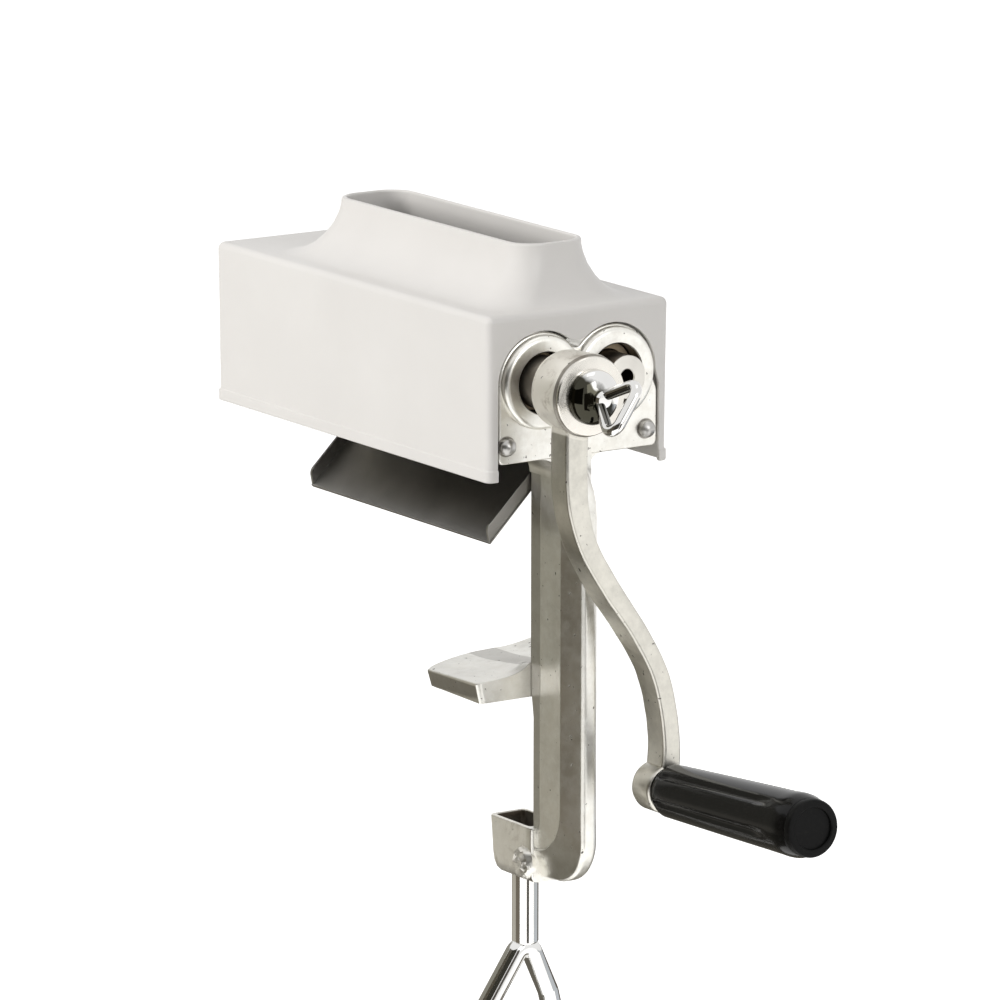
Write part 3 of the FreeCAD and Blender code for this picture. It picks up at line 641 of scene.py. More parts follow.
def cover():
    low, high = COVER_Z
    bead = ((0.0, 0.35, 2.8), (0.2, 0.1, 2.9), (0.6, 0.0, 3.0), (4.6, 0.0, 3.0),
            (5.0, 0.15, 3.0), (5.3, 0.5, 3.0), (5.8, 0.6, 3.0))
    loops = [box_ring(low + rise, step_in, radius) for rise, step_in, radius in bead]
    loops.append(box_ring(150.0, 0.3, 3.0))
    edge = 3.2
    for k in range(7):
        angle = math.pi / 2 * k / 6
        step_in = edge * (1 - math.cos(angle))
        loops.append(box_ring(high - edge + edge * math.sin(angle), step_in, max(edge - step_in, 0.4)))
    loops += [hopper_ring(s) for s in HOPPER]
    loops += [hopper_ring(HOPPER[-1], 0.9), hopper_ring(HOPPER[-1], 1.5, 0.5)]
    loops += [hopper_ring(s, WALL, 0.8) for s in reversed(HOPPER[2:-2])]
    loops.append(hopper_ring(HOPPER[1], WALL - 0.4, 3.0))
    roof = high - WALL
    loops += [box_ring(roof, WALL + 2.4, 1.0), box_ring(roof - 0.7, WALL + 0.7, 1.2),
              box_ring(roof - 2.4, WALL, 1.2), box_ring(low + 0.5, WALL - 0.2, 1.4),
              box_ring(low, WALL - 0.6, 1.8)]
    body = loft("cover_shell", loops, ring=True)
    outline = [(max(a, WINDOW_FRONT_Y), b) for a, b in heart(22.3, 42.6, 95.0, 9.0)]
    cut(body, prism_x("window", outline, COVER_X[1] - 6, COVER_X[1] + 4))
    soften(body, 0.5, 2, 50)
    lugs = []
    for x0 in (-138.0, 20.5):
        for a, b in ((COVER_Y[0] + 1.6, -36.5), (36.5, COVER_Y[1] - 1.6)):
            lugs.append(soften(prism_z("lug", rect(x0, a, x0 + 4.5, b, 0.8, 3), 123.5, 130.4), 0.4, 2))
    return dress(join("cover_hood", [body] + lugs), WHITE, "cover", ["cover"])


# Crank end casting
def toward(p, q, distance):
    share = min(1.0, distance / math.dist(p, q))
    return (p[0] + (q[0] - p[0]) * share, p[1] + (q[1] - p[1]) * share)


# Half thicknesses of the C frame at its inner band, its side, the ledge and the nose
BAND = 6.6
SIDE = 7.0
LEDGE = 7.9
TIP = 3.0


def leg_section(inner, side, ledge, nose):
    """One closed section of the C frame through four places (x, z), from its inner band to its nose."""
    half = [(inner, 0.0), (inner, BAND - 1.2), (toward(inner, side, 0.3), BAND - 0.5),
            (toward(inner, side, 0.9), BAND - 0.1), (toward(inner, side, 1.8), BAND),
            (toward(side, inner, 0.5), BAND), (toward(side, inner, 0.1), BAND + 0.15),
            (toward(side, ledge, 0.5), SIDE - 0.15), (toward(side, ledge, 0.9), SIDE),
            (toward(ledge, side, 1.3), SIDE), (toward(ledge, side, 0.8), SIDE + 0.12),
            (toward(ledge, side, 0.25), LEDGE - 0.1), (ledge, LEDGE),
            (toward(ledge, nose, 0.5), LEDGE - 0.12), (toward(nose, ledge, 1.6), TIP + 1.15),
            (toward(nose, ledge, 0.9), TIP + 0.55), (toward(nose, ledge, 0.35), TIP),
            (toward(nose, ledge, 0.08), TIP - 0.7), (nose, TIP - 1.5), (nose, 0.0)]
    front = [(p[0], -y, p[1]) for p, y in half]
    back = [(p[0], y, p[1]) for p, y in reversed(half[1:-1])]
    return front + back


# Stations down the straight leg: height, its inner face and its nose along x
LEG_STATIONS = [
    (116, 12.9, 38.9), (110, 12.9, 39.2), (106, 12.9, 41.2), (101, 12.9, 44.8), (96, 12.9, 48.1),
    (91, 12.9, 49.9), (84, 12.9, 50.4), (40, 12.9, 50.4), (12, 12.9, 50.4), (3, 13.1, 50.4),
    (-3, 14.2, 50.4), (-9, 15.1, 50.4), (-30, 15.1, 50.4), (-48, 15.1, 50.5),
]
SIDE_X = 21.4
LEDGE_X = 38.5


def leg():
    """Straight down, round the bend in a quarter turn, and level into the cup."""
    sections = []
    for z, inner_x, nose_x in LEG_STATIONS:
        ledge_x = min(LEDGE_X, nose_x - 0.6)
        sections.append(leg_section((inner_x, z), (SIDE_X, z), (ledge_x, z), (nose_x, z)))
    steps = 14
    for k in range(steps + 1):
        t = math.pi / 2 * k / steps
        c, s = math.cos(t), math.sin(t)
        inner = (15.1 + 0.6 * k / steps, -54 - 7 * k / steps)
        side = (SIDE_X - 4.0 * k / steps, -55 - 8 * k / steps)
        ledge = (17.0 + 21.5 * c, -48 - 20.0 * s)
        nose = (29.0 + 21.5 * c, -59 - 20.9 * s)
        sections.append(leg_section(inner, side, ledge, nose))
    for x, low in ((12, -81.2), (4, -82.3)):
        sections.append(leg_section((x, -62), (x, -63.5), (x, -68.2), (x, low)))
    return loft("leg", sections)


def end_plate():
    wide, half, foot = 42.0, 39.8, PLATE_FOOT_Z
    lower = rounded([(-half, foot, 2.5), (wide, foot, 2.5), (wide, 135.5, 6.0), (half, 141.0, 6.0),
                     (half, ROLLER_Z, 0), (-half, ROLLER_Z, 0)], 4)
    arcs = heart(half - ROLLER_Y, half, ROLLER_Z, 3.0)
    outline = [p for p in lower if p[1] < ROLLER_Z - 1] + list(reversed(arcs[1:-1]))
    return soften(prism_x("end_plate", outline, PLATE_X0, PLATE_X1), 0.9, 3)


def inset(outline, distance):
    """The outline moved inwards by a distance, point by point. It runs anticlockwise or clockwise."""
    count = len(outline)
    area = sum(outline[i - 1][0] * outline[i][1] - outline[i][0] * outline[i - 1][1] for i in range(count))
    turn = 1 if area > 0 else -1
    out = []
    for i, (a, b) in enumerate(outline):
        ahead = Vector(outline[(i + 1) % count]) - Vector(outline[i - 1])
        ahead.normalize()
        out.append((a - ahead.y * turn * distance, b + ahead.x * turn * distance))
    return out


def raised_heart():
    top = heart(BOSS_R, BOSS_R + ROLLER_Y, ROLLER_Z, 0.6)[1:-1]
    turns = [math.pi * k / 40 for k in range(1, 20)]
    sides = [(ROLLER_Y + BOSS_R * math.cos(t), ROLLER_Z - BOSS_R * math.sin(t)) for t in turns]
    outline = top + sides + [(-a, b) for a, b in reversed(sides)]
    edge = ((BOSS_X0, 0.0), (40.2, 0.0), (41.2, 0.3), (42.0, 1.0), (42.4, 1.8), (BOSS_X1, 2.6))
    return loft("raised_heart", [[(x, a, b) for a, b in inset(outline, d)] for x, d in edge])


def arch_fillets():
    """The rounded corners between the leg and the plate's foot. The front one runs further back along x."""
    parts = []
    y0, top = 5.0, PLATE_FOOT_Z + 0.5
    for side, radius, x0 in ((-1, 10.5, 13.6), (1, 6.5, 21.5)):
        low = PLATE_FOOT_Z - radius
        y1 = 7.2 + radius
        outline = [(side * y0, top), (side * y0, low)]
        for k in range(13):
            t = math.pi / 2 * k / 12
            outline.append((side * (y1 - radius * math.cos(t)), low + radius * math.sin(t)))
        outline.append((side * y1, top))
        parts.append(prism_x("arch", outline, x0, 38.2))
    return parts


def rest_outline():
    half = 35.5
    points = [(14.2, -33.4), (13.2, -34.8), (-24.0, -half), (-25.0, -half + 1.2)]
    for k in range(1, 24):
        y = (-half + 1.2) * (1 - k / 12)
        points.append((-25.0 - 11.0 * (1 - (y / half) ** 2), y))
    points += [(-25.0, half - 1.2), (-24.0, half - 0.3), (-12.0, 33.6), (2.0, 30.4)]
    return points + [(14.2, 24.0 - 1.5 * k) for k in range(38)]


def table_rest():
    outline = rest_outline()

    def top(x, y):
        share = max(0.0, min(1.0, (x + 25.0) / 39.0))
        rear_rise = min(2.6, max(0.0, y - 8.0) ** 2 * 0.0125)
        level = 8.75 + share * 0.7 + (1 - share) * (y + 34.0) * 0.045 + rear_rise
        sag = 1.3 * max(0.0, (-y - 20.0) / 15.5) * math.sin(math.pi * share)
        return level - sag + share ** 1.5 * 6.0 * math.exp((6.7 - max(abs(y), 6.7)) / 6.5)

    def under(x, y):
        return 0.9 * max(0.0, (10.0 - x) / 35.0)

    def flat(x, y):
        return 0.0

    def ring(share, z, across=None):
        """The outline drawn in to a share of its size. Near full size its end at the leg stays put."""
        across = share if across is None else across
        at_leg = max(share, 0.999) if share > 0.96 else share
        return [(4.0 + (x - 4.0) * (share if x < 10 else at_leg), y * across, z(x, y)) for x, y in outline]

    def row(share, drop=0.0):
        return [(x, y, top(x, y) - drop) for x, y, _ in ring(share, flat)]

    loops = [ring(0.12, flat), ring(0.5, flat), ring(0.95, flat, 0.90), ring(0.992, under, 0.945),
             ring(0.995, lambda x, y: under(x, y) + 0.5, 0.948)]
    loops += [row(1.0, 1.0), row(0.999, 0.4), row(0.99, 0.05)]
    loops += [row(share) for share in (0.96, 0.9, 0.8, 0.66, 0.5, 0.34, 0.12)]
    return loft("table_rest", loops)


def screw_cup():
    def ring(z, x0, half, radius, x1):
        corners = [(x0, -half, radius), (x1, -half, 1.5), (x1, half, 1.5), (x0, half, radius)]
        return [(a, b, z) for a, b in rounded(corners, 8)]

    outer = ((-82.5, -6.6, 6.9, 2.2), (-82.1, -8.8, 8.1, 2.4), (-80.7, -10.8, 9.0, 2.6),
             (-78.0, -12.2, 9.4, 2.7), (-74.0, -13.0, 9.5, 2.7), (-66.0, -13.9, 9.5, 2.7),
             (-58.8, -14.7, 9.5, 2.7), (-58.2, -14.5, 9.3, 2.5), (-58.0, -14.0, 8.9, 2.2))
    inner = ((-58.0, -12.7, 7.8, 2.4), (-58.5, -12.3, 7.4, 2.2), (-68.0, -10.8, 7.3, 2.2),
             (-73.4, -9.6, 7.0, 2.2), (-74.0, -8.8, 6.2, 2.0))
    body = loft("cup", [ring(*row, 19.0) for row in outer] + [ring(*row, 15.0) for row in inner])
    bore = stand_up(lathe("bore", [(-90, 0), (-90, 5.97), (-72, 5.97), (-72, 0)]))
    wedge = [(-7.5, -59.0), (17.0, -59.0), (17.0, -53.7), (9.0, -56.6)]
    rise = soften(loft("rise", [[(x, y, z) for x, z in wedge] for y in (7.6, 9.4)]), 0.6, 3)
    return join("cup_body", [cut(body, bore), rise])


def casting_lug():
    """The rough round boss on the cup's side, with broken facets."""
    dice = random.Random(3)
    x0, z0 = 13.2, -74.2
    steps = ((7.0, -7.6), (6.9, -9.6), (6.4, -10.9), (5.4, -11.7), (4.1, -11.0), (2.5, -11.9), (1.0, -11.3))
    loops = []
    for r, y in steps:
        loop = []
        for k in range(26):
            t = 2 * math.pi * k / 26
            reach = r * (1 + dice.uniform(-0.10, 0.08))
            out = y + dice.uniform(-0.5, 0.5) * (r < 6.9)
            loop.append((x0 + reach * math.cos(t), out, z0 + reach * math.sin(t) * 1.06))
        loops.append(loop)
    return loft("lug", loops)


def crank_end_frame():
    plate = unite(end_plate(), raised_heart())
    bore = [(BOSS_X0 - 1, 0), (BOSS_X0 - 1, BORE_R), (BOSS_X1 - 0.6, BORE_R), (BOSS_X1 + 0.2, BORE_R + 0.8),
            (BOSS_X1 + 2, BORE_R + 0.8), (BOSS_X1 + 2, 0)]
    for centre in (FRONT, REAR):
        cut(plate, lathe("bore", bore, centre))
    for side in (-1, 1):
        cut(plate, lathe("rod_hole", [(20, 0), (20, 3.05), (45, 3.05), (45, 0)], (0, side * TIE_Y, TIE_Z)))
    flange = soften(prism_z("flange", rect(16.0, -37.8, 37.0, 37.8, 0.8, 3), 110.6, 113.4), 0.5, 2)
    pieces = [plate, flange, leg(), table_rest(), screw_cup(), casting_lug()] + arch_fillets()
    body = join("frame_casting", pieces)
    bump_points(body, 0.10, 9.0)
    return dress(body, CAST, "frame", ["crank_end_frame"])


def crank_end_bush(name, centre):
    profile = [(BOSS_X0, 9.6), (BOSS_X0, 13.2), (34.6, 13.2), (35.0, 12.8), (35.0, 10.1), (34.5, 9.6)]
    obj = lathe(name + "_bush", profile, centre)
    return dress(obj, BEARING, "frame", ["bush_crank_end_" + name])


def tie_rod(name, side):
    centre = (0, side * TIE_Y, TIE_Z)
    head = [(38.82, 0.0), (38.82, 3.7), (40.4, 3.8), (41.2, 3.6), (42.1, 2.7), (42.8, 1.3), (43.0, 0.0)]
    shank = [(-156.8, 0), (-156.8, 2.6), (-156.2, 3.0), (39.0, 3.0), (39.0, 0)]
    whole = join(name + "_tie_rod", [lathe("head", head, centre, 40), lathe("rod", shank, centre, 32)])
    return dress(whole, STEEL, "frame", ["tie_rod_" + name])


# Chute: bent sheet with low side walls
def chute():
    thick = 1.4
    x0, x1 = -132.0, 12.0
    under = [(-26.4, 69.6), (8.0, 104.0), (11.0, 107.2), (13.4, 109.4), (16.5, 110.5), (38.0, 110.6)]
    over = [(38.0, 112.0), (16.0, 112.0), (12.6, 110.8), (9.9, 108.4), (7.0, 105.2), (-27.4, 70.7)]
    wall = rounded([(-26.8, 70.2, 0.2), (12.0, 108.4, 0.2), (9.0, 113.5, 4.0), (-28.2, 77.3, 4.0)], 6)
    pieces = [prism_x("sheet", under + over, x0, x1)]
    pieces += [prism_x("wall", wall, x, x + thick) for x in (x0, x1 - thick)]
    for piece in pieces:
        soften(piece, 0.25, 2)
    return dress(join("chute_tray", pieces), SHEET, "frame", ["chute"])


# Rollers
TEETH = 14
BLADE_THICK = 1.4
BLADE_PITCH = 7.4
HOLE_FLAT = 7.05
TOOTH = ((-1.0, 16.6), (-0.55, 17.6), (-0.1, 19.25), (0.0, 19.5), (0.1, 19.25), (0.55, 17.6))


def toothed_disc(x, centre, turned):
    """A toothed blade with a hexagonal hole, turned by a share of one tooth."""
    outline = []
    for k in range(TEETH):
        tip = (k + turned) * 2 * math.pi / TEETH
        for share, radius in TOOTH:
            angle = tip + share * math.pi / TEETH
            outline.append((radius * math.cos(angle), radius * math.sin(angle)))
    count = len(outline)
    hexagon = []
    for k in range(count):
        angle = 2 * math.pi * k / count
        reach = HOLE_FLAT / math.cos((angle + math.pi / 6) % (math.pi / 3) - math.pi / 6)
        hexagon.append((reach * math.cos(angle), reach * math.sin(angle)))
    start = min(range(count), key=lambda i: abs(math.atan2(outline[i][1], outline[i][0])))
    hexagon = hexagon[-start:] + hexagon[:-start]
    half = BLADE_THICK / 2
    rim = ((-half, 0.975), (-half + 0.35, 1.0), (half - 0.35, 1.0), (half, 0.975))
    loops = [[(x + dx, centre[1] + a * grow, centre[2] + b * grow) for a, b in outline] for dx, grow in rim]
    loops += [[(x + dx, centre[1] + a, centre[2] + b) for a, b in hexagon] for dx in (half, -half)]
    return loft("disc", loops, ring=True)


def blades(name, centre, count, first):
    discs = [toothed_disc(first + k * BLADE_PITCH, centre, (k % 2) / 2) for k in range(count)]
    return dress(join(name + "_discs", discs), BLADE_STEEL, name + "_roller", [name + "_blades"])


def shaft(name, centre):
    y, z = centre[1:]
    corners = [(8.08 * math.cos(k * math.pi / 3), 8.08 * math.sin(k * math.pi / 3)) for k in range(6)]
    middle = soften(prism_x("hexagon", [(y + a, z + b) for a, b in corners], -139.7, 25.7), 0.3, 2)
    journal = lathe("journal", [(25.6, 0), (25.6, 9.2), (26.0, 9.5), (50.5, 9.5), (50.8, 9.2), (50.8, 3.9),
                                (50.3, 3.4), (32.0, 3.4), (31.0, 0)], centre)
    for a, b in ((-12.0, -9.0), (9.0, 12.0)):
        flat = [(y + a, z - 12), (y + b, z - 12), (y + b, z + 12), (y + a, z + 12)]
        cut(journal, prism_x("flat", flat, 41.0, 53.0))
    soften(journal, 0.3, 2, 40)
    far = lathe("far", [(-152.5, 0), (-152.5, 6.6), (-152.1, 7.0), (-139.7, 7.0), (-139.7, 0)], centre, 48)
    seat = prism_x("seat", [(y + a * 5.5 / 7, z + b * 5.5 / 7) for a, b in corners], -163.0, -152.4)
    stub = lathe("stub", [(-167.0, 0), (-167.0, 4.5), (-166.5, 5.0), (-162.9, 5.0), (-162.9, 0)], centre, 40)
    whole = join(name + "_spindle", [middle, journal, far, seat, stub])
    return dress(whole, SHAFT_STEEL, name + "_roller", [name + "_shaft"])


# Stations of the crank's arm: middle (y, z), width at the front, width at the back
ARM_STATIONS = [
    (-22.2, 138.0, 11.6, 11.6), (-22.4, 108.0, 11.2, 11.4), (-20.8, 93.0, 10.6, 11.2),
    (-15.7, 77.4, 9.4, 11.4), (-4.3, 58.5, 8.8, 12.2), (9.3, 39.3, 8.2, 11.6), (20.2, 20.2, 8.6, 10.4),
    (25.5, 1.9, 8.8, 10.0), (27.5, -16.2, 9.0, 10.0), (26.0, -31.0, 10.0, 10.6),
]


def catmull(points, steps):
    """A smooth line through the points."""
    out = []
    count = len(points)
    for i in range(count - 1):
        p0 = Vector(points[max(i - 1, 0)])
        p1, p2 = Vector(points[i]), Vector(points[i + 1])
        p3 = Vector(points[min(i + 2, count - 1)])
        for k in range(steps):
            t = k / steps
            out.append(0.5 * (2 * p1 + (p2 - p0) * t + (2 * p0 - 5 * p1 + 4 * p2 - p3) * t * t
                              + (3 * p1 - p0 - 3 * p2 + p3) * t ** 3))
    out.append(Vector(points[-1]))
    return out


def crank_bar():
    line = catmull(ARM_STATIONS, 8)
    loops = []
    x0, x1 = ARM_X
    for i, p in enumerate(line):
        before = line[max(i - 1, 0)]
        after = line[min(i + 1, len(line) - 1)]
        along = Vector((after[0] - before[0], after[1] - before[1])).normalized()
        front, back = p[2] / 2, p[3] / 2
        section = rounded([(-back, x0, 2.2), (back, x0, 2.2), (front, x1, 1.5), (-front, x1, 1.5)], 5)
        loops.append([(x, p[0] - along.y * s, p[1] + along.x * s) for s, x in section])
    return loft("bar", loops)


def grip_place(obj):
    """Leans a piece made along x by the grip's angles and sets it on the arm's eye."""
    obj.data.transform(Matrix.Rotation(-math.radians(4.0), 4, "Y"))
    obj.data.transform(Matrix.Rotation(math.radians(-2.7), 4, "Z"))
    obj.data.transform(Matrix.Translation(Vector((GRIP_X0, *EYE)) * MM))
    return obj


def crank():
    hub_profile = [(37.0, 9.6), (37.0, 11.2), (37.4, 11.6), (53.8, 11.6), (54.6, 12.2), (55.0, 14.2),
                   (55.4, 15.8), (56.6, 16.8), (58.4, 17.1), (73.6, 18.1), (74.8, 17.9), (75.5, 17.1),
                   (75.5, 4.3), (51.6, 4.3), (51.6, 9.6)]
    x0, x1 = ARM_X
    eye_profile = [(x0, 4.0), (x0, 9.6), (x0 + 0.5, 10.5), (x0 + 1.6, 11.0),
                   (x1 - 1.6, 11.0), (x1 - 0.5, 10.5), (x1, 9.6), (x1, 4.0)]
    hub = lathe("hub", hub_profile, FRONT, 96)
    eye = lathe("eye", eye_profile, (0, *EYE), 64)
    body = join("crank_casting", [hub, crank_bar(), eye])
    bump_points(body, 0.16, 7.0, 4.0)
    return dress(body, CRANK_CAST, "front_roller", ["crank_arm"])


def washer():
    profile = [(75.55, 4.3), (75.55, 16.8), (75.9, 17.2), (76.9, 17.2), (77.4, 16.8), (77.8, 12.6),
               (77.8, 4.3)]
    ring = lathe("washer", profile, FRONT, 96)
    return dress(ring, WASHER_STEEL, "front_roller", ["crank_washer"])


def thumb_screw():
    dome = [(SEAT_X, 0), (SEAT_X, 11.6), (SEAT_X + 0.4, 12.0), (SEAT_X + 1.5, 12.0)]
    for k in range(1, 10):
        t = math.pi / 2 * k / 12
        dome.append((SEAT_X + 1.5 + 6.4 * math.sin(t), 12.0 * math.cos(t)))
    dome += [(SEAT_X + 7.9, 4.0), (SEAT_X + 8.8, 3.7), (SEAT_X + 9.9, 3.2), (SEAT_X + 10.4, 0)]
    cap = lathe("dome", dome, FRONT, 96)
    shank = lathe("shank", [(36.0, 0), (36.0, 3.0), (36.4, 3.3), (SEAT_X, 3.3), (SEAT_X, 0)], FRONT, 40)
    tilt = math.radians(34.0)
    across = Vector((0, math.sin(tilt), math.cos(tilt)))
    centre = Vector(FRONT)
    corners = [(SEAT_X + 3.5, 0.0, 2.5), (SEAT_X + 27.5, -16.0, 4.5), (SEAT_X + 27.5, 12.4, 4.5)]
    path = [centre + Vector((a, 0, 0)) + across * b for a, b in rounded(corners, 10)]
    whole = join("domed_thumb_screw", [cap, shank, tube("loop", path, LOOP_R)])
    dress(whole, DOME_CHROME, "thumb_screw", ["thumb_screw"])
    shade_loop(whole, (centre + Vector((SEAT_X + 19.0, 0, 0))) * MM)
    return whole


def shade_loop(screw, middle):
    """Gives the loop's inner side the finish with the painted dark reflection."""
    screw.data.materials.append(LOOP_SHADE)
    for face in screw.data.polygons:
        inwards = (middle - face.center).normalized()
        if face.center.x > (SEAT_X + 11.0) * MM and face.normal.dot(inwards) > 0.25:
            face.material_index = 1


def grip():
    end = GRIP_L - 4.0
    stations = [(0.0, 9.6), (0.6, 10.3), (3.0, 11.8), (GRIP_L * 0.5, 13.0), (GRIP_L - 16, 13.8),
                (GRIP_L - 12, 13.95), (GRIP_L - 8.6, 13.8), (GRIP_L - 4.8, 12.8), (end, 12.4)]
    dense = []
    for (x0, r0), (x1, r1) in zip(stations, stations[1:]):
        steps = max(1, int((x1 - x0) / 2.5))
        dense += [(x0 + (x1 - x0) * k / steps, r0 + (r1 - r0) * k / steps) for k in range(steps)]
    dense.append(stations[-1])
    flutes, depth, hole = 6, 1.25, 4.0
    circle = [2 * math.pi * k / 144 for k in range(144)]
    loops = []
    for x, r in dense:
        run = max(0.0, min(1.0, (x - 2) / 6)) * max(0.0, min(1.0, (GRIP_L - 17 - x) / 12))
        loop = []
        for t in circle:
            wave = (t / (2 * math.pi) * flutes + 0.25) % 1 - 0.5
            reach = r - depth * max(0.0, 1 - (abs(wave) / 0.17) ** 2) * run
            loop.append((x, reach * math.cos(t), reach * math.sin(t)))
        loops.append(loop)
    loops += [[(x, hole * math.cos(t), hole * math.sin(t)) for t in circle] for x in (end, 0.0)]
    barrel = grip_place(loft("fluted_barrel", loops, ring=True))
    return dress(barrel, BLACK, "grip", ["grip"])


def grip_cap():
    profile = [(GRIP_L - 3.95, 4.0), (GRIP_L - 3.95, 11.9), (GRIP_L - 3.6, 12.5), (GRIP_L - 3.0, 12.6),
               (GRIP_L - 1.0, 12.5), (GRIP_L - 0.3, 12.1), (GRIP_L, 11.3), (GRIP_L, 9.6), (GRIP_L - 0.4, 9.1),
               (GRIP_L - 1.4, 8.9), (GRIP_L - 1.5, 0.0), (GRIP_L - 2.4, 0.0), (GRIP_L - 2.4, 4.0)]
    cap = grip_place(lathe("grip_end", profile, steps=96))
    return dress(cap, CAP_BLACK, "grip", ["grip_cap"])


def grip_spindle():
    profile = [(-20.4, 0), (-20.4, 5.2), (-19.8, 6.1), (-17.6, 6.2), (-16.6, 5.8), (-16.6, 3.5),
               (GRIP_L - 3.2, 3.5), (GRIP_L - 2.8, 3.1), (GRIP_L - 2.8, 0)]
    spindle = grip_place(lathe("spindle", profile, steps=48))
    return dress(spindle, CHROME, "front_roller", ["grip_spindle"])


# Clamp screw and pad
def clamp_screw():
    profile = [(-114.5, 0), (-114.5, 5.2), (-113.6, 5.9), (-72.9, 5.9), (-72.8, 3.0), (-66.2, 3.0),
               (-66.2, 0)]
    rod = stand_up(lathe("rod", profile, steps=56))
    corners = [(111.5, 0.0, 5.0), (158.3, -32.0, 11.0), (158.3, 17.0, 11.0), (138.5, 12.2, 9.0)]
    path = [(0.0, b, -a) for a, b in rounded(corners, 14)]
    whole = join("clamp_screw_and_bow", [rod, tube("loop", path, BOW_R, 32)])
    return dress(whole, CHROME, "clamp_screw", ["clamp_screw"])


def clamp_pad():
    profile = [(-72.5, 3.1), (-72.5, 5.2), (-71.6, 6.3), (-70.8, 6.5), (-63.8, 6.5), (-63.0, 5.8), (-63.0, 0),
               (-66.0, 0), (-66.0, 3.1)]
    pad = stand_up(lathe("pad", profile, steps=56))
    return dress(pad, CHROME, "clamp_pad", ["clamp_pad"])


# Camera, floor and light
CAMERA_AT = (2.8276, -1.8851, 0.8114)
CAMERA_YAW = 33.50
CAMERA_PITCH = 12.08
CAMERA_ROLL = 0.08
FLOOR_Z = -420
FLOOR_HALF = 6000
FLOOR_GLOW = 0.86
FILL_POWER = 0.44
BOARD_R = 800
LAMP_AIM = (-0.02, 0.0, 0.06)


def camera():
    bpy.context.scene.view_settings.view_transform = "Standard"
    yaw, pitch, roll = (math.radians(v) for v in (CAMERA_YAW, CAMERA_PITCH, CAMERA_ROLL))
    forward = Vector((-math.cos(yaw) * math.cos(pitch), math.sin(yaw) * math.cos(pitch), -math.sin(pitch)))
    level = Vector((math.sin(yaw), math.cos(yaw), 0.0))
    upright = level.cross(forward)
    right = level * math.cos(roll) + upright * math.sin(roll)
    up = upright * math.cos(roll) - level * math.sin(roll)
    data = bpy.data.cameras.new("camera")
    data.sensor_width = 36.0
    data.lens = 288.0
    data.clip_end = 50.0
    obj = bpy.data.objects.new("camera", data)
    turned = Matrix((right, up, -forward)).transposed().to_4x4()
    obj.matrix_world = Matrix.Translation(Vector(CAMERA_AT)) @ turned
    bpy.context.scene.collection.objects.link(obj)
    bpy.context.scene.camera = obj


def world():
    """White to the camera and in reflections, and a dimmer warm fill for everything else."""
    studio = bpy.data.worlds.new("studio")
    bpy.context.scene.world = studio
    nodes = Nodes(studio)
    white = nodes.node("ShaderNodeBackground", i0=(1, 1, 1, 1))
    fill = nodes.node("ShaderNodeBackground", i0=(1.0, 0.985, 0.965, 1), i1=FILL_POWER)
    seen = nodes.rays("Is Camera Ray", "Is Glossy Ray", "Is Transmission Ray")
    nodes.node("ShaderNodeOutputWorld", i0=nodes.node("ShaderNodeMixShader", i0=seen, i1=fill, i2=white))


def floor():
    """A pale floor that glows to the camera and in reflections."""
    corners = ((-1, -1), (1, -1), (1, 1), (-1, 1))
    obj = new_object("floor", [(a * FLOOR_HALF, b * FLOOR_HALF, FLOOR_Z) for a, b in corners], [(0, 1, 2, 3)])
    material = bpy.data.materials.new("pale_floor")
    nodes = Nodes(material)
    matt = nodes.node("ShaderNodeBsdfDiffuse", i0=(0.80, 0.80, 0.79, 1))
    glow = nodes.node("ShaderNodeEmission", i1=FLOOR_GLOW)
    both = nodes.node("ShaderNodeAddShader", i0=matt, i1=glow)
    seen = nodes.rays("Is Camera Ray", "Is Glossy Ray")
    nodes.node("ShaderNodeOutputMaterial", i0=nodes.node("ShaderNodeMixShader", i0=seen, i1=matt, i2=both))
    obj.data.materials.append(material)


def lamp(name, place, size, power, colour=(1, 1, 1)):
    data = bpy.data.lights.new(name, "AREA")
    data.shape = "RECTANGLE"
    data.size, data.size_y = size
    data.energy = power
    data.color = colour
    obj = bpy.data.objects.new(name, data)
    obj.location = place
    obj.rotation_euler = (Vector(LAMP_AIM) - Vector(place)).to_track_quat("-Z", "Y").to_euler()
    bpy.context.scene.collection.objects.link(obj)
    return obj


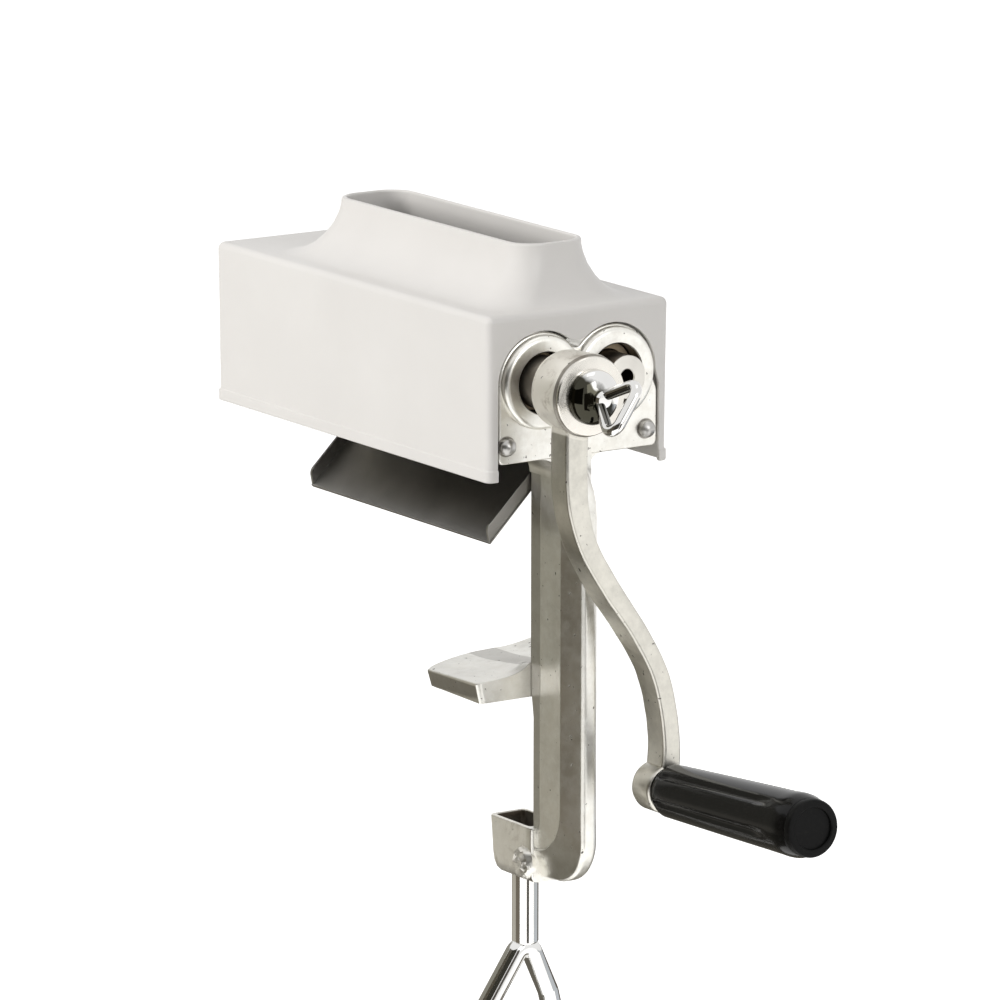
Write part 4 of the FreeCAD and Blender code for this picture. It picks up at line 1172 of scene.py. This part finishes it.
def dark_board(name, turn0, turn1, low, high, shade, inner=BOARD_R):
    """A curved studio board that only reflections see, so that bright metal has something dark to show.
    It stands on its circle, or lies as a ring sector where its lower edge has a smaller radius."""
    steps = max(2, int(abs(turn1 - turn0) / 6))
    points = []
    for k in range(steps + 1):
        turn = math.radians(turn0 + (turn1 - turn0) * k / steps)
        for radius, z in ((inner, low), (BOARD_R, high)):
            points.append((radius * math.cos(turn), radius * math.sin(turn), z))
    obj = new_object(name, points, [(2 * k, 2 * k + 2, 2 * k + 3, 2 * k + 1) for k in range(steps)])
    material = bpy.data.materials.new(name)
    nodes = Nodes(material)
    nodes.node("ShaderNodeOutputMaterial", i0=nodes.node("ShaderNodeEmission", i0=(*shade, 1)))
    obj.data.materials.append(material)
    obj.visible_camera = False
    obj.visible_diffuse = False
    obj.visible_shadow = False
    obj.visible_transmission = False


# Boards: name, turns of both ends in degrees, heights of both edges, shade, and the lower edge's radius
BOARDS = [
    ("front_flag", -122, -80, -212, 560, (0.10, 0.088, 0.066)),
    ("front_low_flag", -122, -80, -400, -212, (0.19, 0.165, 0.13)),
    ("left_flag", -184, -122, -212, 430, (0.30, 0.29, 0.245)),
    ("left_low_flag", -184, -122, -400, -212, (0.50, 0.475, 0.41)),
    ("far_flag", -216, -184, -400, 70, (0.20, 0.18, 0.155)),
    ("crank_flag", -20, 0, -400, 260, (0.10, 0.09, 0.08)),
    ("camera_flag", -80, -26, -130, 560, (0.045, 0.043, 0.034)),
    ("blue_flag", 46, 97, -400, -150, (0.58, 0.61, 0.64)),
    ("edge_flag", 97, 146, -400, -150, (0.13, 0.115, 0.095)),
    ("low_board", -216, -80, -400, -400, (0.15, 0.14, 0.115), 160),
    ("back_board", 60, 144, -400, -400, (0.20, 0.185, 0.155), 160),
]


def light():
    key = lamp("key", (-0.5, -1.9, 0.95), (1.3, 1.1), 27.0, (1.0, 0.985, 0.965))
    key.visible_glossy = False
    lamp("crank_side", (1.7, 0.1, 0.8), (0.9, 0.9), 6.6)
    lamp("top", (0.1, 0.3, 1.8), (0.8, 0.8), 1.2)
    for board in BOARDS:
        dark_board(*board)


dress_carried_nodes()
cover()
crank_end_frame()
crank_end_bush("front", FRONT)
crank_end_bush("rear", REAR)
tie_rod("front", -1)
tie_rod("rear", 1)
chute()
shaft("front", FRONT)
shaft("rear", REAR)
blades("front", FRONT, 20, -122.8)
blades("rear", REAR, 19, -119.1)
crank()
washer()
thumb_screw()
grip()
grip_cap()
grip_spindle()
clamp_screw()
clamp_pad()
camera()
world()
floor()
light()
